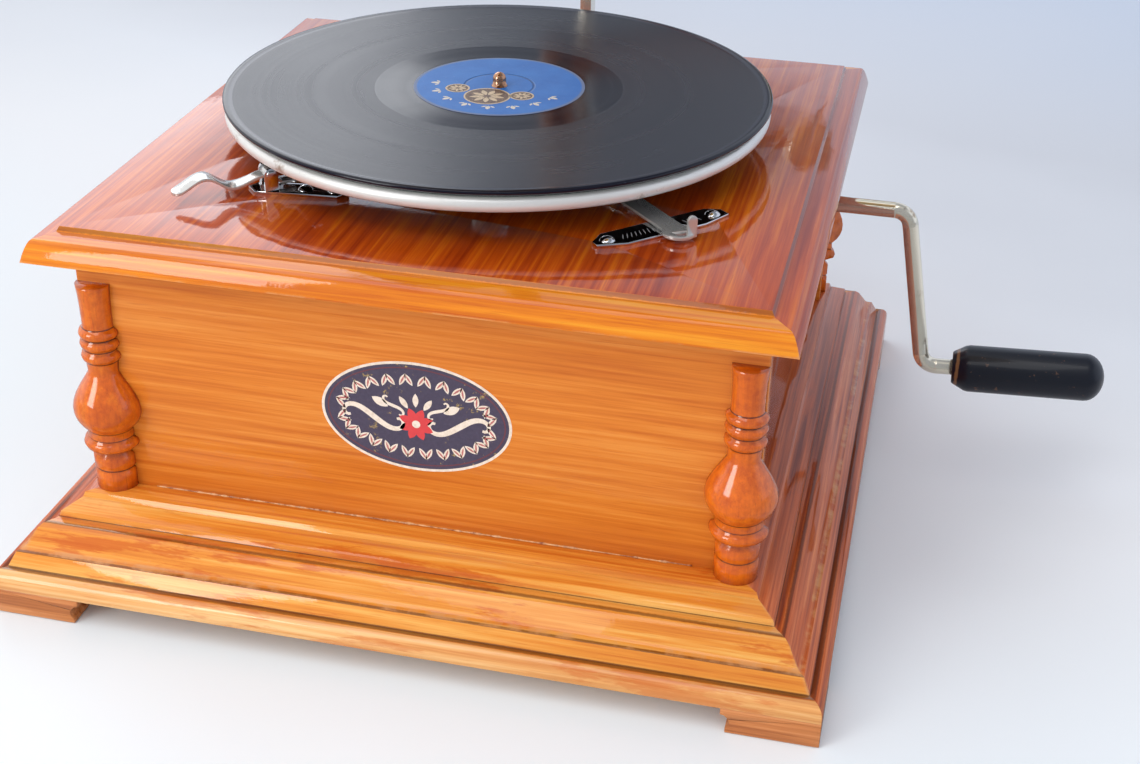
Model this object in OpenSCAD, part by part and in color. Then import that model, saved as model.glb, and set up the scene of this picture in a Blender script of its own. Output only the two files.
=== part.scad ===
// Table gramophone with a square wooden case, spring motor, swinging tone arm and brass horn.
// The origin is on the ground under the middle of the case, +Z is up and the front faces -Y.

/* [Case] */
// Height of the bracket feet
foot_h = 12; // [8:0.5:20]
// Length of each bracket foot along the skirt
foot_l = 41; // [32:1:60]
// Height of the skirt between the feet and the base moulding
skirt_h = 15.4; // [13:0.2:20]
// Height of the moulding above the skirt
moulding_h = 20.3; // [16:0.1:28]
// How far the ledge that the case stands on reaches past the front panel's face
ledge_out = 11.8; // [11:0.1:20]
// How far the moulding reaches inwards under the case
moulding_in = 30; // [26:1:60]
// Height of the case panels
panel_h = 114.9; // [100:0.1:150]
// Thickness of the case panels
panel_t = 12; // [9:0.5:14]
// How far the front and back panels reach past the side panels' faces
front_lap = 6; // [3.5:0.5:8.5]
// How much further from the middle the side panels' faces are than the front's
side_out = 2.3; // [0:0.1:4.5]
// Outer faces of the front and back panels from the middle
face_half = 138.2; // [134:0.1:141]
// Thickness of the top board
board_t = 12.4; // [10:0.2:16]
// How far the flat field of the top board reaches past the front panel's face
field_out = 8.1; // [3:0.1:11]
// Width of the moulded edge of the top board
board_edge = 12.8; // [8:0.1:16]
// Thickness of the bottom board
bottom_t = 4; // [3:0.5:6]
// Width of the square corner posts
post_w = 17; // [12:1:20]

/* [Columns] */
// Distance of the column axes inside the side panels' faces
column_in = 1.2; // [0:0.1:5]
// Height of the half columns
column_h = 99; // [85:1:112]
// Radius of the plain shaft
shaft_r = 6.9; // [5:0.1:8]
// Radius of the bead rings
bead_r = 8.9; // [8:0.1:11]
// Radius of the vase at its fullest
vase_r = 13.2; // [11:0.1:15]
// Radius of the collar under the vase
collar_r = 12.6; // [10:0.1:14]
// Radius of the foot drum
drum_r = 9.4; // [8:0.1:12]

/* [Turntable] */
// Clear height between the board and the platter rim
platter_gap = 14.5; // [12:0.5:20]
// How far the record reaches past the platter
record_lip = 0.5; // [0:0.1:6]
// Height of the rolled platter rim
rim_h = 7; // [5:0.5:10]
// Thickness of the platter steel
platter_t = 1.5; // [1:0.1:2.5]
// Thickness of the felt
felt_t = 1; // [0.5:0.1:2]
// Radius of the record
record_r = 125; // [120:0.5:127]
// Thickness of the record at its edge bead
record_t = 2.5; // [2:0.1:3]
// Radius of the record label
label_r = 39.2; // [35:0.1:50]
// Radius of the smooth ring outside the label
run_out_r = 57; // [54:1:62]
// Radius of the spindle tip
tip_r = 3.1; // [2.5:0.1:3.5]
// How far the spindle tip stands above the record
tip_h = 6; // [4:0.5:10]

/* [Motor] */
// Radius of the turntable spindle inside the motor
spindle_r = 4; // [3.7:0.1:5]
// Thickness of the motor plates
plate_t = 2.5; // [2:0.1:4]
// Clear height between the two motor plates
plate_gap = 69.5; // [66:0.5:75]
// Thickness of the rubber washers that hang the motor
washer_t = 4.1; // [3:0.1:6]
// Depth of the winding shaft axis under the board face
crank_drop = 30.4; // [29.5:0.1:32]
// Distance of the winding shaft behind the middle
crank_y = 34.3; // [33.8:0.1:37]
// Distance of the spring barrel left of the middle
barrel_x = -40; // [-42:0.5:-38]
// Module of the gear teeth
gear_module = 1; // [0.95:0.01:1.03]
// Teeth of the spring barrel
barrel_teeth = 84; // [80:1:88]
// Teeth of the centre pinion
centre_pinion_teeth = 14; // [12:1:16]
// Teeth of the centre wheel
centre_teeth = 60; // [56:1:62]
// Teeth of the spindle pinion
spindle_teeth = 15; // [13:1:17]
// Teeth of the fibre worm wheel
worm_wheel_teeth = 40; // [38:1:42]
// Threads on the governor worm
worm_starts = 4; // [3:1:5]
// Radius of the spring barrel
barrel_r = 38; // [34:0.5:39]
// Height of the spring barrel
barrel_h = 32; // [28:0.5:33]
// Wall of the spring barrel
barrel_wall = 2; // [1.5:0.1:3]
// Radius of the barrel arbor
arbor_r = 6; // [5:0.1:7]
// Turns of the mainspring
spring_turns = 12; // [9:1:13]
// Thickness of the mainspring strip
spring_t = 0.8; // [0.6:0.1:1]
// Teeth of the bevel winding wheel
bevel_teeth = 36; // [32:1:38]
// Teeth of the bevel winding pinion
bevel_pinion_teeth = 12; // [11:1:13]
// Pitch radius of the bevel winding wheel
bevel_r = 24; // [22:0.5:25]
// Distance of the governor weights from the governor's axis
weight_circle = 11.5; // [11:0.5:13]
// Radius of the governor disc
disc_r = 15; // [13:0.5:16]

/* [Crank] */
// Radius of the crank rod
rod_r = 3.8; // [3:0.1:4.5]
// Distance of the crank's upper bend from the middle
crank_out = 190; // [180:1:205]
// How far the crank arm splays outwards
crank_splay = 15; // [5:1:25]
// Drop of the crank arm
crank_arm = 80; // [65:1:95]
// Radius of the crank bends
crank_bend = 8; // [6:0.5:11]
// Upward tilt of the crank handle in degrees
handle_tilt = 3; // [0:0.5:5]
// Bare rod between the lower bend and the handle
handle_start = 14.6; // [13:0.1:20]
// Length of the crank handle
handle_l = 71.5; // [60:0.5:85]
// Radius of the crank handle
handle_r = 11.4; // [9:0.1:13]

/* [Brake and regulator] */
// Place of the brake pivot, left of the middle
brake_x = -78.5; // [-80:0.5:-77]
// Place of the brake pivot, in front of the middle
brake_y = -88; // [-89.5:0.5:-87]
// Height of the brake pivot above the board
brake_z = 8.2; // [7.5:0.1:9]
// Length of the brake's finger lever
brake_l = 42; // [36:1:48]
// Width of the brake lever
brake_w = 9; // [7:0.5:10]
// Sheet thickness of the brake and regulator parts
sheet_t = 1.3; // [1:0.1:1.6]
// Distance of the regulator plate's middle right of the middle
scale_x = 92; // [90:0.5:93]
// Distance of the regulator plate's middle in front of the middle
scale_y = -84.5; // [-86:0.5:-83]
// Length of the regulator plate
scale_l = 65; // [60:0.5:70]
// Width of the regulator plate
scale_w = 13; // [11:0.5:15]
// Distance between the regulator plate's screws
scale_pitch = 52.6; // [48:0.2:54]
// Length of the regulator lever
pointer_l = 54; // [52:0.5:56]
// Distance of the regulator pivot from the middle of its plate
pointer_in = 37; // [36:0.5:39]
// Width of the regulator lever
pointer_w = 9.5; // [8:0.5:10.5]

/* [Tone arm and horn] */
// Place of the tone arm pivot, right of the middle
pivot_x = -8; // [-10:0.5:-6]
// Place of the tone arm pivot behind the middle
pivot_y = 150; // [148:0.5:154]
// Thickness of the upright bracket
stem_t = 6; // [5:0.5:8]
// Depth of the upright bracket
stem_w = 11; // [9:0.5:14]
// Place of the upright bracket, right of the middle
stem_x = 1.5; // [0:0.5:3]
// Distance of the upright bracket behind the middle
stem_y = 178; // [176:0.5:184]
// Height of the bracket ring above the board
ring_rise = 112; // [105:1:125]
// Height of the bracket ring
ring_h = 12; // [9:0.5:15]
// Outer radius of the tone arm and elbow tubes
tube_r = 7.5; // [7:0.1:8.5]
// Wall of the tubes
tube_wall = 1; // [0.8:0.1:1.4]
// Reach of the tone arm from its pivot to the needle
arm_reach = 160; // [156:0.5:166]
// Height of the tone arm over the record
arm_rise = 40; // [38:0.5:44]
// Radius of the sound box
box_r = 26; // [22:0.5:28]
// Thickness of the sound box
box_t = 13; // [11:0.5:15]
// Parked angle of the tone arm, from +X towards the back
park_angle = 32; // [26:1:36]
// Gap between the parked needle and the record's level
needle_gap = 0.8; // [0.5:0.1:2]
// Lean of the horn's axis above the horizontal
horn_lean = 52; // [45:1:60]
// Length of the horn
horn_l = 330; // [280:5:360]
// Radius of the horn's mouth
mouth_r = 185; // [150:5:200]
// Wall of the horn
horn_wall = 1.2; // [1:0.1:2]
// Petals of the horn
petals = 8; // [6:1:9]

/* [Fits] */
// Running clearance of a shaft in its bearing
run_gap = 0.05; // [0.02:0.01:0.1]
// Clearance between pieces that move past each other
move_gap = 0.3; // [0.3:0.05:0.5]
// Clearance of a screw in its hole
screw_gap = 0.1; // [0.05:0.05:0.2]

/* [Hidden] */
$fn = 48;
screw_r = 1.6;
wood_screw_l = 14;
wood_head_r = 3.4;
wood_head_h = 1.8;
deck_screw_r = 1.2;
deck_screw_l = 8;
deck_head_r = 3.3;
deck_head_h = 1.7;
bracket_plate_t = 3;
bracket_plate_w = 36;
bracket_plate_h = 54;

// Widths that follow the front panel's face
side_half = face_half + side_out;
front_half = side_half + front_lap;
column_x = side_half - column_in;
ledge_half = face_half + ledge_out;
field_half = face_half + field_out;

// Levels of the case, from the ground up
skirt_z = foot_h;
moulding_z = skirt_z + skirt_h;
ledge_z = moulding_z + moulding_h;
board_z = ledge_z + panel_h;
deck_z = board_z + board_t;
board_half = field_half + board_edge;
inner_x = side_half - panel_t;
inner_y = face_half - panel_t;
skirt_out = 33;
skirt_in = 5;
base_half = ledge_half + skirt_out;

// Levels of the turntable
rim_z = deck_z + platter_gap;
felt_z = rim_z + rim_h;
record_z = felt_z + felt_t;
record_top = record_z + record_t;
hub_r = 9;
hub_z = deck_z + 3;
shoulder_r = 6;
platter_r = record_r - record_lip;
seat_r = 3.55;
spindle_pivot_r = 2.4;

// Levels of the motor
plate_top = board_z - washer_t;
plate_z = plate_top - plate_t;
bottom_z = plate_z - plate_gap - plate_t;
floor_z = bottom_z + plate_t;
crank_z = deck_z - crank_drop;
centre_wheel_z = floor_z + 2;
centre_wheel_t = 3;
barrel_z = centre_wheel_z + centre_wheel_t + 2.5;
barrel_gear_t = 4;
cover_t = 2;
barrel_top = barrel_z + barrel_h;
worm_z = barrel_top + 4.5;
worm_wheel_t = 5;
bevel_pinion_r = bevel_r * bevel_pinion_teeth / bevel_teeth;
bevel_z = crank_z - bevel_pinion_r;
bevel_keep = 0.7;
wheel_disc_t = 3.5;
tooth_up = 0.8;
tooth_down = 1.1;
ratchet_t = 3;
ratchet_r = 16;
ratchet_teeth = 18;
ratchet_depth = 2;
ratchet_z = bevel_z - wheel_disc_t - ratchet_t - 1;

bush_r = rod_r + 2.4;

// Places of the motor's axes
barrel_p = [barrel_x, crank_y];
barrel_pitch_r = gear_module * barrel_teeth / 2;
centre_pinion_r = gear_module * centre_pinion_teeth / 2;
centre_pitch_r = gear_module * centre_teeth / 2;
spindle_pitch_r = gear_module * spindle_teeth / 2;
reach_a = centre_pitch_r + spindle_pitch_r;
reach_b = barrel_pitch_r + centre_pinion_r;
barrel_d = norm(barrel_p);
centre_turn = acos((barrel_d ^ 2 + reach_a ^ 2 - reach_b ^ 2) / (2 * barrel_d * reach_a));
centre_angle = atan2(barrel_p[1], barrel_p[0]) + centre_turn;
centre_p = reach_a * [cos(centre_angle), sin(centre_angle)];
worm_wheel_r = gear_module * worm_wheel_teeth / 2;
worm_r = 4.5;
worm_depth_out = 0.8;
worm_depth_in = 1.1;
worm_l = 16;
worm_lead = PI * gear_module * worm_starts;
governor_y = -worm_wheel_r - worm_r;
governor_r = 2.5;
pivot_r = 1.5;
governor_x0 = -16;
governor_x1 = 60;
collar_r_in = 5;
spring_rise = 4.5;
leaf_t = 0.6;
leaf_w = 5;
pad_l = 2.6;
pad_drop = 10.5;
pad_travel = 1.5;
bracket_t = 2.5;
collar_x = 13;
collar_l = 4;
sleeve_x = 44;
disc_x = 50;
disc_t = 2;
pinion_hub_l = 4;
shaft_r_in = 5;
pinion_small_x = barrel_x + bevel_r * bevel_keep;
pinion_big_x = barrel_x + bevel_r;
shaft_end_x = 96;
socket_x = 72;
pillar_r = 4;
pillar_pin_r = 2.5;
pillars = [[-88, 76], [-80, -42], [14, 78], [4, -51]];
plate_lo = [-96, -66];
plate_hi = [86, 86];
bottom_lo = [plate_lo[0], -60];
bottom_hi = [24, plate_hi[1]];
bolt_places = [[-88, -24], [-30, 77], [78, 12]];
bolt_r = 2.5;
bolt_head_r = 5;
bolt_head_h = 2;
pawl_d = 31;
pawl_angle = 150;
pawl_p = barrel_p + pawl_d * [cos(pawl_angle), sin(pawl_angle)];
pawl_stud_r = 2;

// Places of the regulator's axes
scale_dir = 45;
pointer_dir = -47;
pointer_off = 2.3;
pointer_p = [scale_x, scale_y] + pointer_off * [cos(scale_dir), sin(scale_dir)]
  - pointer_in * [cos(pointer_dir), sin(pointer_dir)];
regulator_r = 3;
cam_r = 4;
cam_offset = 4;
cam_z = worm_z + 6;
cam_t = 4;
tail_l = 12;
tail_w = 5;
speed_p = pointer_p + [cam_r + move_gap + tail_w / 2, tail_l - cam_offset];
speed_r = 2;

// Sizes of the brake
brake_dir = 219;
plate_dir = 6.6;
plate_screws = [16, 29];
brake_body_w = 6.4;
rivet_r = 1.25;

// Places of the arm and horn
pivot_p = [pivot_x, pivot_y];
ring_z = deck_z + ring_rise;
ring_r = tube_r + 4;
arm_z = record_top + arm_rise;
arm_r = tube_r - 0.8;
cheek_t = 2.4;
knuckle_r = 8;
knuckle_half = 8.6;
yoke_z = arm_z + knuckle_r + 5;
yoke_t = 2.5;
sleeve_wall = 2;
lift_r = 2;
swivel_h = 16;
elbow_low = yoke_z + yoke_t + move_gap;
elbow_top = ring_z + ring_h + 22;
elbow_bend = 26;
elbow_far = 46;
horn_start = elbow_far - 14;

// Sizes of the sound box and needle
box_v = -16;
rim_t = 3.5;
box_back_t = 3;
chuck_y = -box_r - 4.5;
chuck_z = box_t - 2;
chuck_r = 2.6;
chuck_l = 7;
needle_r = 0.9;
needle_fall = 55;
needle_drop = arm_rise - needle_gap + chuck_y;
needle_l = needle_drop / sin(needle_fall);
box_u = arm_reach - needle_drop / tan(needle_fall);

// Half length of the faint band that closes the seam between a straight leg and a bend
seam = 0.3;

// Unit vector along v
function unit(v) = v / norm(v);
// Vector v turned a quarter to the left
function left_of(v) = [-v[1], v[0]];
// Signed turn of a path at b in degrees
function turn_at(a, b, c) = let(d = unit(b - a), e = unit(c - b))
  atan2(d[0] * e[1] - d[1] * e[0], d * e);
// Length that a bend takes from each leg beside it
function bend_cut(path, i, bend) = (i <= 0 || i >= len(path) - 1) ? 0
  : bend * tan(abs(turn_at(path[i - 1], path[i], path[i + 1])) / 2);

// Round rod along a flat path, with round bends
module rod_along(path, rad, bend) {
  for (i = [0 : len(path) - 2]) {
    dir = unit(path[i + 1] - path[i]);
    start = path[i] + dir * bend_cut(path, i, bend);
    stop = path[i + 1] - dir * bend_cut(path, i + 1, bend);
    translate([start[0], start[1], 0])
      rotate([0, 90, atan2(dir[1], dir[0])]) {
        cylinder(h = norm(stop - start), r = rad);
        if (i > 0)
          cylinder(h = 2 * seam, r = rad + seam / 10, center = true);
        if (i < len(path) - 2)
          translate([0, 0, norm(stop - start)])
            cylinder(h = 2 * seam, r = rad + seam / 10, center = true);
      }
    if (i < len(path) - 2) {
      turn = turn_at(path[i], path[i + 1], path[i + 2]);
      side = turn > 0 ? 1 : -1;
      centre = stop + left_of(dir) * side * bend;
      first = atan2(dir[1], dir[0]) - side * 90 + min(turn, 0);
      translate([centre[0], centre[1], 0])
        rotate([0, 0, first])
          rotate_extrude(angle = abs(turn))
            translate([bend, 0])
              circle(r = rad);
    }
  }
}

// Flat strip along a path, with round bends, as an outline
module strip_along(path, width, bend) {
  for (i = [0 : len(path) - 2]) {
    dir = unit(path[i + 1] - path[i]);
    start = path[i] + dir * bend_cut(path, i, bend);
    stop = path[i + 1] - dir * bend_cut(path, i + 1, bend);
    translate(start)
      rotate(atan2(dir[1], dir[0])) {
        translate([0, -width / 2])
          square([norm(stop - start), width]);
        if (i > 0)
          square([2 * seam, width + seam / 5], center = true);
        if (i < len(path) - 2)
          translate([norm(stop - start), 0])
            square([2 * seam, width + seam / 5], center = true);
      }
    if (i < len(path) - 2) {
      turn = turn_at(path[i], path[i + 1], path[i + 2]);
      side = turn > 0 ? 1 : -1;
      centre = stop + left_of(dir) * side * bend;
      first = atan2(dir[1], dir[0]) - side * 90 + min(turn, 0);
      translate(centre)
        rotate(first)
          sector(bend - width / 2, bend + width / 2, abs(turn));
    }
  }
}

// Flat ring sector from angle 0 to the given angle under 180
module sector(r_in, r_out, angle) {
  far = r_out * 1.5;
  difference() {
    circle(r = r_out);
    circle(r = r_in);
    rotate(angle)
      translate([-far, 0])
        square([2 * far, far]);
    rotate(180)
      translate([-far, 0])
        square([2 * far, far]);
  }
}

// Rectangle with round corners between two points
module round_plate(lo, hi, r) {
  translate(lo + [r, 0])
    square([hi[0] - lo[0] - 2 * r, hi[1] - lo[1]]);
  translate(lo + [0, r])
    square([hi[0] - lo[0], hi[1] - lo[1] - 2 * r]);
  for (x = [lo[0] + r, hi[0] - r], y = [lo[1] + r, hi[1] - r])
    translate([x, y])
      circle(r = r);
}

// Outline of a toothed wheel with slim straight-sided teeth and a tooth on +X
module gear_outline(teeth, pitch_r, stretch = 1) {
  size = 2 * pitch_r / teeth;
  up = tooth_up * size;
  down = tooth_down * size;
  half = 0.21 * PI * size;
  tip_a = (half - up * tan(20)) / (pitch_r + up * stretch) * 180 / PI;
  root_a = (half + down * tan(20)) / (pitch_r - down * stretch) * 180 / PI;
  polygon([for (i = [0 : teeth - 1], s = [0 : 3])
    let(r = (s == 0 || s == 3) ? pitch_r - down * stretch : pitch_r + up * stretch,
        a = i * 360 / teeth + [-root_a, -tip_a, tip_a, root_a][s])
    r * [cos(a), sin(a)]]);
}

// Moulded edge of the top board: how far out it stands at each height below the field
function board_edge_points() = let(lip = 1.2, step = 2.1, slope = 8.3, slope_z = 3.2)
  concat([[0, 0], [lip, -step]],
    [for (i = [0 : 5]) let(k = i / 5, out = slope + (board_edge - slope) * k)
      [out, -board_t + (board_t - slope_z) * (1 - k ^ 1.765)]]);

// Board section across its whole width
module board_section() {
  edge = board_edge_points();
  polygon(concat([for (q = edge) [field_half + q[0], q[1]]],
    [for (i = [len(edge) - 1 : -1 : 0]) [-field_half - edge[i][0], edge[i][1]]]));
}

module top_board() {
  color("sienna")
  difference() {
    translate([0, 0, deck_z])
      intersection() {
        rotate([90, 0, 0])
          linear_extrude(height = 2 * board_half + 1, center = true)
            board_section();
        rotate([90, 0, 90])
          linear_extrude(height = 2 * board_half + 1, center = true)
            board_section();
      }
    translate([0, 0, board_z - 1])
      cylinder(h = board_t + 2, r = hub_r + 1);
    translate([pointer_p[0], pointer_p[1], board_z - 1])
      cylinder(h = board_t + 2, r = regulator_r + 0.5);
    for (q = bolt_places)
      translate([q[0], q[1], board_z - 1]) {
        cylinder(h = board_t + 2, r = bolt_r + screw_gap);
        translate([0, 0, board_t + 1 - bolt_head_h])
          cylinder(h = bolt_head_h + 1, r = bolt_head_r + screw_gap);
      }
    for (q = deck_screw_places())
      translate([q[0], q[1], deck_z - deck_screw_l])
        cylinder(h = deck_screw_l + 1, r = deck_screw_r + screw_gap);
  }
}

// Case panel with its outer face on -Y
module long_panel() {
  translate([-front_half, -face_half, ledge_z])
    cube([2 * front_half, panel_t, panel_h]);
}

module front_panel() {
  color("peru")
    long_panel();
}

module back_panel() {
  color("peru")
  difference() {
    rotate([0, 0, 180])
      long_panel();
    for (q = bracket_screw_places())
      translate([q[0], face_half + 1, q[1]])
        rotate([90, 0, 0])
          cylinder(h = wood_screw_l - bracket_plate_t + 1, r = screw_r + screw_gap);
  }
}

module left_panel() {
  color("sienna")
  translate([-side_half, -inner_y, ledge_z])
    cube([panel_t, 2 * inner_y, panel_h]);
}

module right_panel() {
  color("sienna")
  difference() {
    translate([inner_x, -inner_y, ledge_z])
      cube([panel_t, 2 * inner_y, panel_h]);
    translate([inner_x - 1, crank_y, crank_z])
      rotate([0, 90, 0])
        cylinder(h = panel_t + 2, r = bush_r);
  }
}

// Outline of a turned column from its axis out, from the foot up
module column_outline() {
  h = column_h;
  neck = shaft_r;
  top = [for (i = [0 : 4]) let(k = i / 4) [shaft_r + 0.7 * k ^ 3, h * (0.8 + 0.2 * k)]];
  beads = [for (c = [0.66, 0.72, 0.77], i = [0 : 4])
    let(a = -90 + i * 45) [neck + 0.4 + (bead_r - neck - 0.4) * cos(a), h * (c + 0.022 * sin(a))]];
  vase = [for (i = [0 : 10]) let(k = i / 10)
    [neck + (vase_r - neck) * sin(180 * k ^ 0.78) ^ 1.15 + (1 - k) * 3.4, h * (0.3 + 0.28 * k)]];
  collar = [for (i = [0 : 4]) let(a = -90 + i * 45)
    [collar_r - 2.4 + 2.4 * cos(a), h * (0.232 + 0.026 * sin(a))]];
  drum = [[0, 0], [drum_r, 0], [drum_r, h * 0.09], [drum_r - 0.9, h * 0.1], [drum_r, h * 0.11],
    [drum_r, h * 0.165], [drum_r - 1.6, h * 0.18], [drum_r - 1.6, h * 0.195]];
  polygon(concat(drum, collar, [[vase_r - 2.6, h * 0.275]], vase, beads, top, [[0, h]]));
}

// Half column glued to the face on -Y
module half_column(x) {
  translate([x, -face_half, ledge_z])
    intersection() {
      rotate_extrude()
        column_outline();
      translate([-20, -20, 0])
        cube([40, 20, column_h]);
    }
}

module columns() {
  color("sienna")
  for (turn = [0, 180], x = [-column_x, column_x])
    rotate([0, 0, turn])
      half_column(x);
}

// Section of the base moulding: ledge, cove, bead groove and ogee
module moulding_section() {
  h = moulding_h;
  ogee = [for (i = [0 : 6]) let(k = i / 6)
    [12.6 + 11.1 * k, h * 0.53 * (1 - k) + 1.5 * sin(360 * k)]];
  polygon(concat([[-moulding_in, 0], [-moulding_in, h], [0, h], [0.9, h - 2.4], [2.4, h - 3.1],
    [8.3, h - 6.4], [9, h - 8.9], [10.6, h - 9.3]], ogee));
}

// Section of the skirt: groove, half round and flat face
module skirt_section() {
  h = skirt_h;
  torus = [for (i = [0 : 6]) let(a = 90 - i * 15)
    [28.2 + (skirt_out - 28.2) * cos(a), h - 12.2 + 5.8 * sin(a)]];
  polygon(concat([[skirt_in, 0], [skirt_in, h], [23.7, h], [25.5, h - 3.6], [27, h - 6.6]],
    torus, [[skirt_out, 0]]));
}

// Length of base moulding on the -Y side, cut at 45 degrees at both ends
module mitred_side(z, inner) {
  reach = 2 * base_half;
  translate([0, 0, z])
    intersection() {
      rotate([90, 0, -90])
        linear_extrude(height = reach, center = true)
          translate([ledge_half, 0])
            children();
      linear_extrude(height = moulding_h + skirt_h)
        polygon([[inner, -inner], [-inner, -inner], [-reach, -reach], [reach, -reach]]);
    }
}

module moulding(turn) {
  rotate([0, 0, turn])
    difference() {
      mitred_side(moulding_z, ledge_half - moulding_in - 1)
        moulding_section();
      for (q = side_screw_places())
        translate([q[0], q[1], moulding_z - 1])
          cylinder(h = wood_screw_l - bottom_t, r = screw_r + screw_gap);
    }
}

module skirt(turn) {
  rotate([0, 0, turn])
    mitred_side(skirt_z, ledge_half + skirt_in - 1)
      skirt_section();
}

module moulding_front() {
  color("peru")
    moulding(0);
}

module moulding_right() {
  color("sienna")
    moulding(90);
}

module moulding_back() {
  color("peru")
    moulding(180);
}

module moulding_left() {
  color("sienna")
    moulding(270);
}

module skirt_front() {
  color("peru")
    skirt(0);
}

module skirt_right() {
  color("sienna")
    skirt(90);
}

module skirt_back() {
  color("peru")
    skirt(180);
}

module skirt_left() {
  color("sienna")
    skirt(270);
}

// Outline of a bracket foot's face, with its stepped and curved inner end
module foot_face() {
  h = foot_h;
  difference() {
    square([foot_l, h]);
    translate([foot_l, h * 0.42])
      circle(r = h * 0.32);
    translate([foot_l - h * 0.2, -h * 0.08])
      square([h, h * 0.5]);
  }
}

module feet() {
  thick = skirt_out - skirt_in;
  color("saddlebrown")
  for (turn = [0, 90, 180, 270])
    rotate([0, 0, turn])
      translate([-base_half, -base_half, 0]) {
        translate([0, thick, 0])
          rotate([90, 0, 0])
            linear_extrude(height = thick)
              foot_face();
        mirror([1, -1, 0])
          translate([0, thick, 0])
            rotate([90, 0, 0])
              linear_extrude(height = thick)
                foot_face();
      }
}

// Places of the screws that hold the bottom board
function side_screw_places() = [for (x = [-60, 60]) [x, -ledge_half + moulding_in / 2]];
function bottom_screw_places() = [for (a = [0, 90, 180, 270], q = side_screw_places())
  [q[0] * cos(a) - q[1] * sin(a), q[0] * sin(a) + q[1] * cos(a)]];

module bottom_board() {
  half = ledge_half + skirt_in - 0.5;
  color("burlywood")
  difference() {
    translate([-half, -half, moulding_z - bottom_t])
      cube([2 * half, 2 * half, bottom_t]);
    for (q = bottom_screw_places())
      translate([q[0], q[1], moulding_z - bottom_t - 1])
        cylinder(h = bottom_t + 2, r = screw_r + screw_gap);
  }
}

module corner_posts() {
  color("burlywood")
  for (x = [-1, 1], y = [-1, 1])
    translate([x * (inner_x - post_w / 2), y * (inner_y - post_w / 2), ledge_z + panel_h / 2])
      cube([post_w, post_w, panel_h], center = true);
}

// Slotted wood screw with its head's face on the ground, pointing up
module wood_screw() {
  difference() {
    union() {
      cylinder(h = wood_head_h, r = wood_head_r);
      cylinder(h = wood_screw_l, r = screw_r);
    }
    translate([-4, -0.4, -0.1])
      cube([8, 0.8, 0.9]);
  }
}

module wood_screws() {
  color("silver") {
    for (q = bottom_screw_places())
      translate([q[0], q[1], moulding_z - bottom_t - wood_head_h])
        wood_screw();
    for (q = bracket_screw_places())
      translate([q[0], face_half + bracket_plate_t + wood_head_h, q[1]])
        rotate([90, 0, 0])
          wood_screw();
  }
}

// Plate of the motor with its outline and the bores for the two trains
module plate_outline(lo, hi) {
  difference() {
    round_plate(lo, hi, 10);
    for (q = pillars)
      translate(q)
        circle(r = pillar_pin_r + screw_gap);
  }
}

module motor_plate() {
  boss_h = 6;
  color("slategray") {
    difference() {
      union() {
        translate([0, 0, plate_z])
          linear_extrude(height = plate_t)
            plate_outline(plate_lo, plate_hi);
        translate([0, 0, plate_z - boss_h])
          cylinder(h = boss_h, r = spindle_r + 3);
        stud(speed_p, speed_r, cam_z - cam_t / 2);
        stud(pawl_p, pawl_stud_r, ratchet_z);
      }
      translate([0, 0, plate_z - boss_h - 1])
        cylinder(h = boss_h + plate_t + 2, r = spindle_r + run_gap);
      translate([barrel_p[0], barrel_p[1], plate_z - 1])
        cylinder(h = plate_t + 2, r = arbor_r - 2 + run_gap);
      translate([centre_p[0], centre_p[1], plate_z - 1])
        cylinder(h = plate_t + 2, r = pivot_r + run_gap);
      translate([pointer_p[0], pointer_p[1], plate_z - 1])
        cylinder(h = plate_t + 2, r = regulator_r + 0.5);
      for (q = bolt_places)
        translate([q[0], q[1], plate_z - 1])
          cylinder(h = plate_t + 2, r = bolt_r + screw_gap);
    }
  }
}

// Stud that hangs from the motor plate and keeps a lever on with its flange
module stud(place, r, low) {
  flange_h = 1;
  translate([place[0], place[1], low - move_gap - flange_h]) {
    cylinder(h = plate_z - low + move_gap + flange_h, r = r);
    cylinder(h = flange_h, r = r + 1.5);
  }
}

module bottom_plate() {
  color("slategray")
  difference() {
    translate([0, 0, bottom_z])
      linear_extrude(height = plate_t)
        plate_outline(bottom_lo, bottom_hi);
    translate([0, 0, bottom_z - 1])
      cylinder(h = plate_t + 2, r = spindle_pivot_r + run_gap);
    translate([barrel_p[0], barrel_p[1], bottom_z - 1])
      cylinder(h = plate_t + 2, r = arbor_r - 2 + run_gap);
    translate([centre_p[0], centre_p[1], bottom_z - 1])
      cylinder(h = plate_t + 2, r = pivot_r + run_gap);
  }
}

module motor_pillars() {
  color("silver")
  for (q = pillars)
    translate([q[0], q[1], bottom_z]) {
      translate([0, 0, plate_t])
        cylinder(h = plate_gap, r = pillar_r);
      cylinder(h = plate_gap + 2 * plate_t, r = pillar_pin_r);
    }
}

module motor_bolts() {
  nut_h = 3;
  color("silver")
  for (q = bolt_places)
    translate([q[0], q[1], 0]) {
      difference() {
        translate([0, 0, plate_z - nut_h - 1])
          cylinder(h = deck_z - plate_z + nut_h + 1, r = bolt_r);
        slot_cut(deck_z, bolt_head_r);
      }
      difference() {
        translate([0, 0, deck_z - bolt_head_h])
          cylinder(h = bolt_head_h, r = bolt_head_r);
        slot_cut(deck_z, bolt_head_r);
      }
      translate([0, 0, plate_z - nut_h])
        cylinder(h = nut_h, r = bolt_r * 1.9, $fn = 6);
    }
}

// Cutter for a screwdriver slot whose head ends at the given height
module slot_cut(top, r) {
  translate([-r - 1, -0.5, top - 0.8])
    cube([2 * r + 2, 1, 1]);
}

module rubber_washers() {
  color("dimgray")
  for (q = bolt_places)
    translate([q[0], q[1], plate_top])
      difference() {
        cylinder(h = washer_t, r = bolt_r + 5);
        translate([0, 0, -1])
          cylinder(h = washer_t + 2, r = bolt_r + screw_gap);
      }
}

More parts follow.
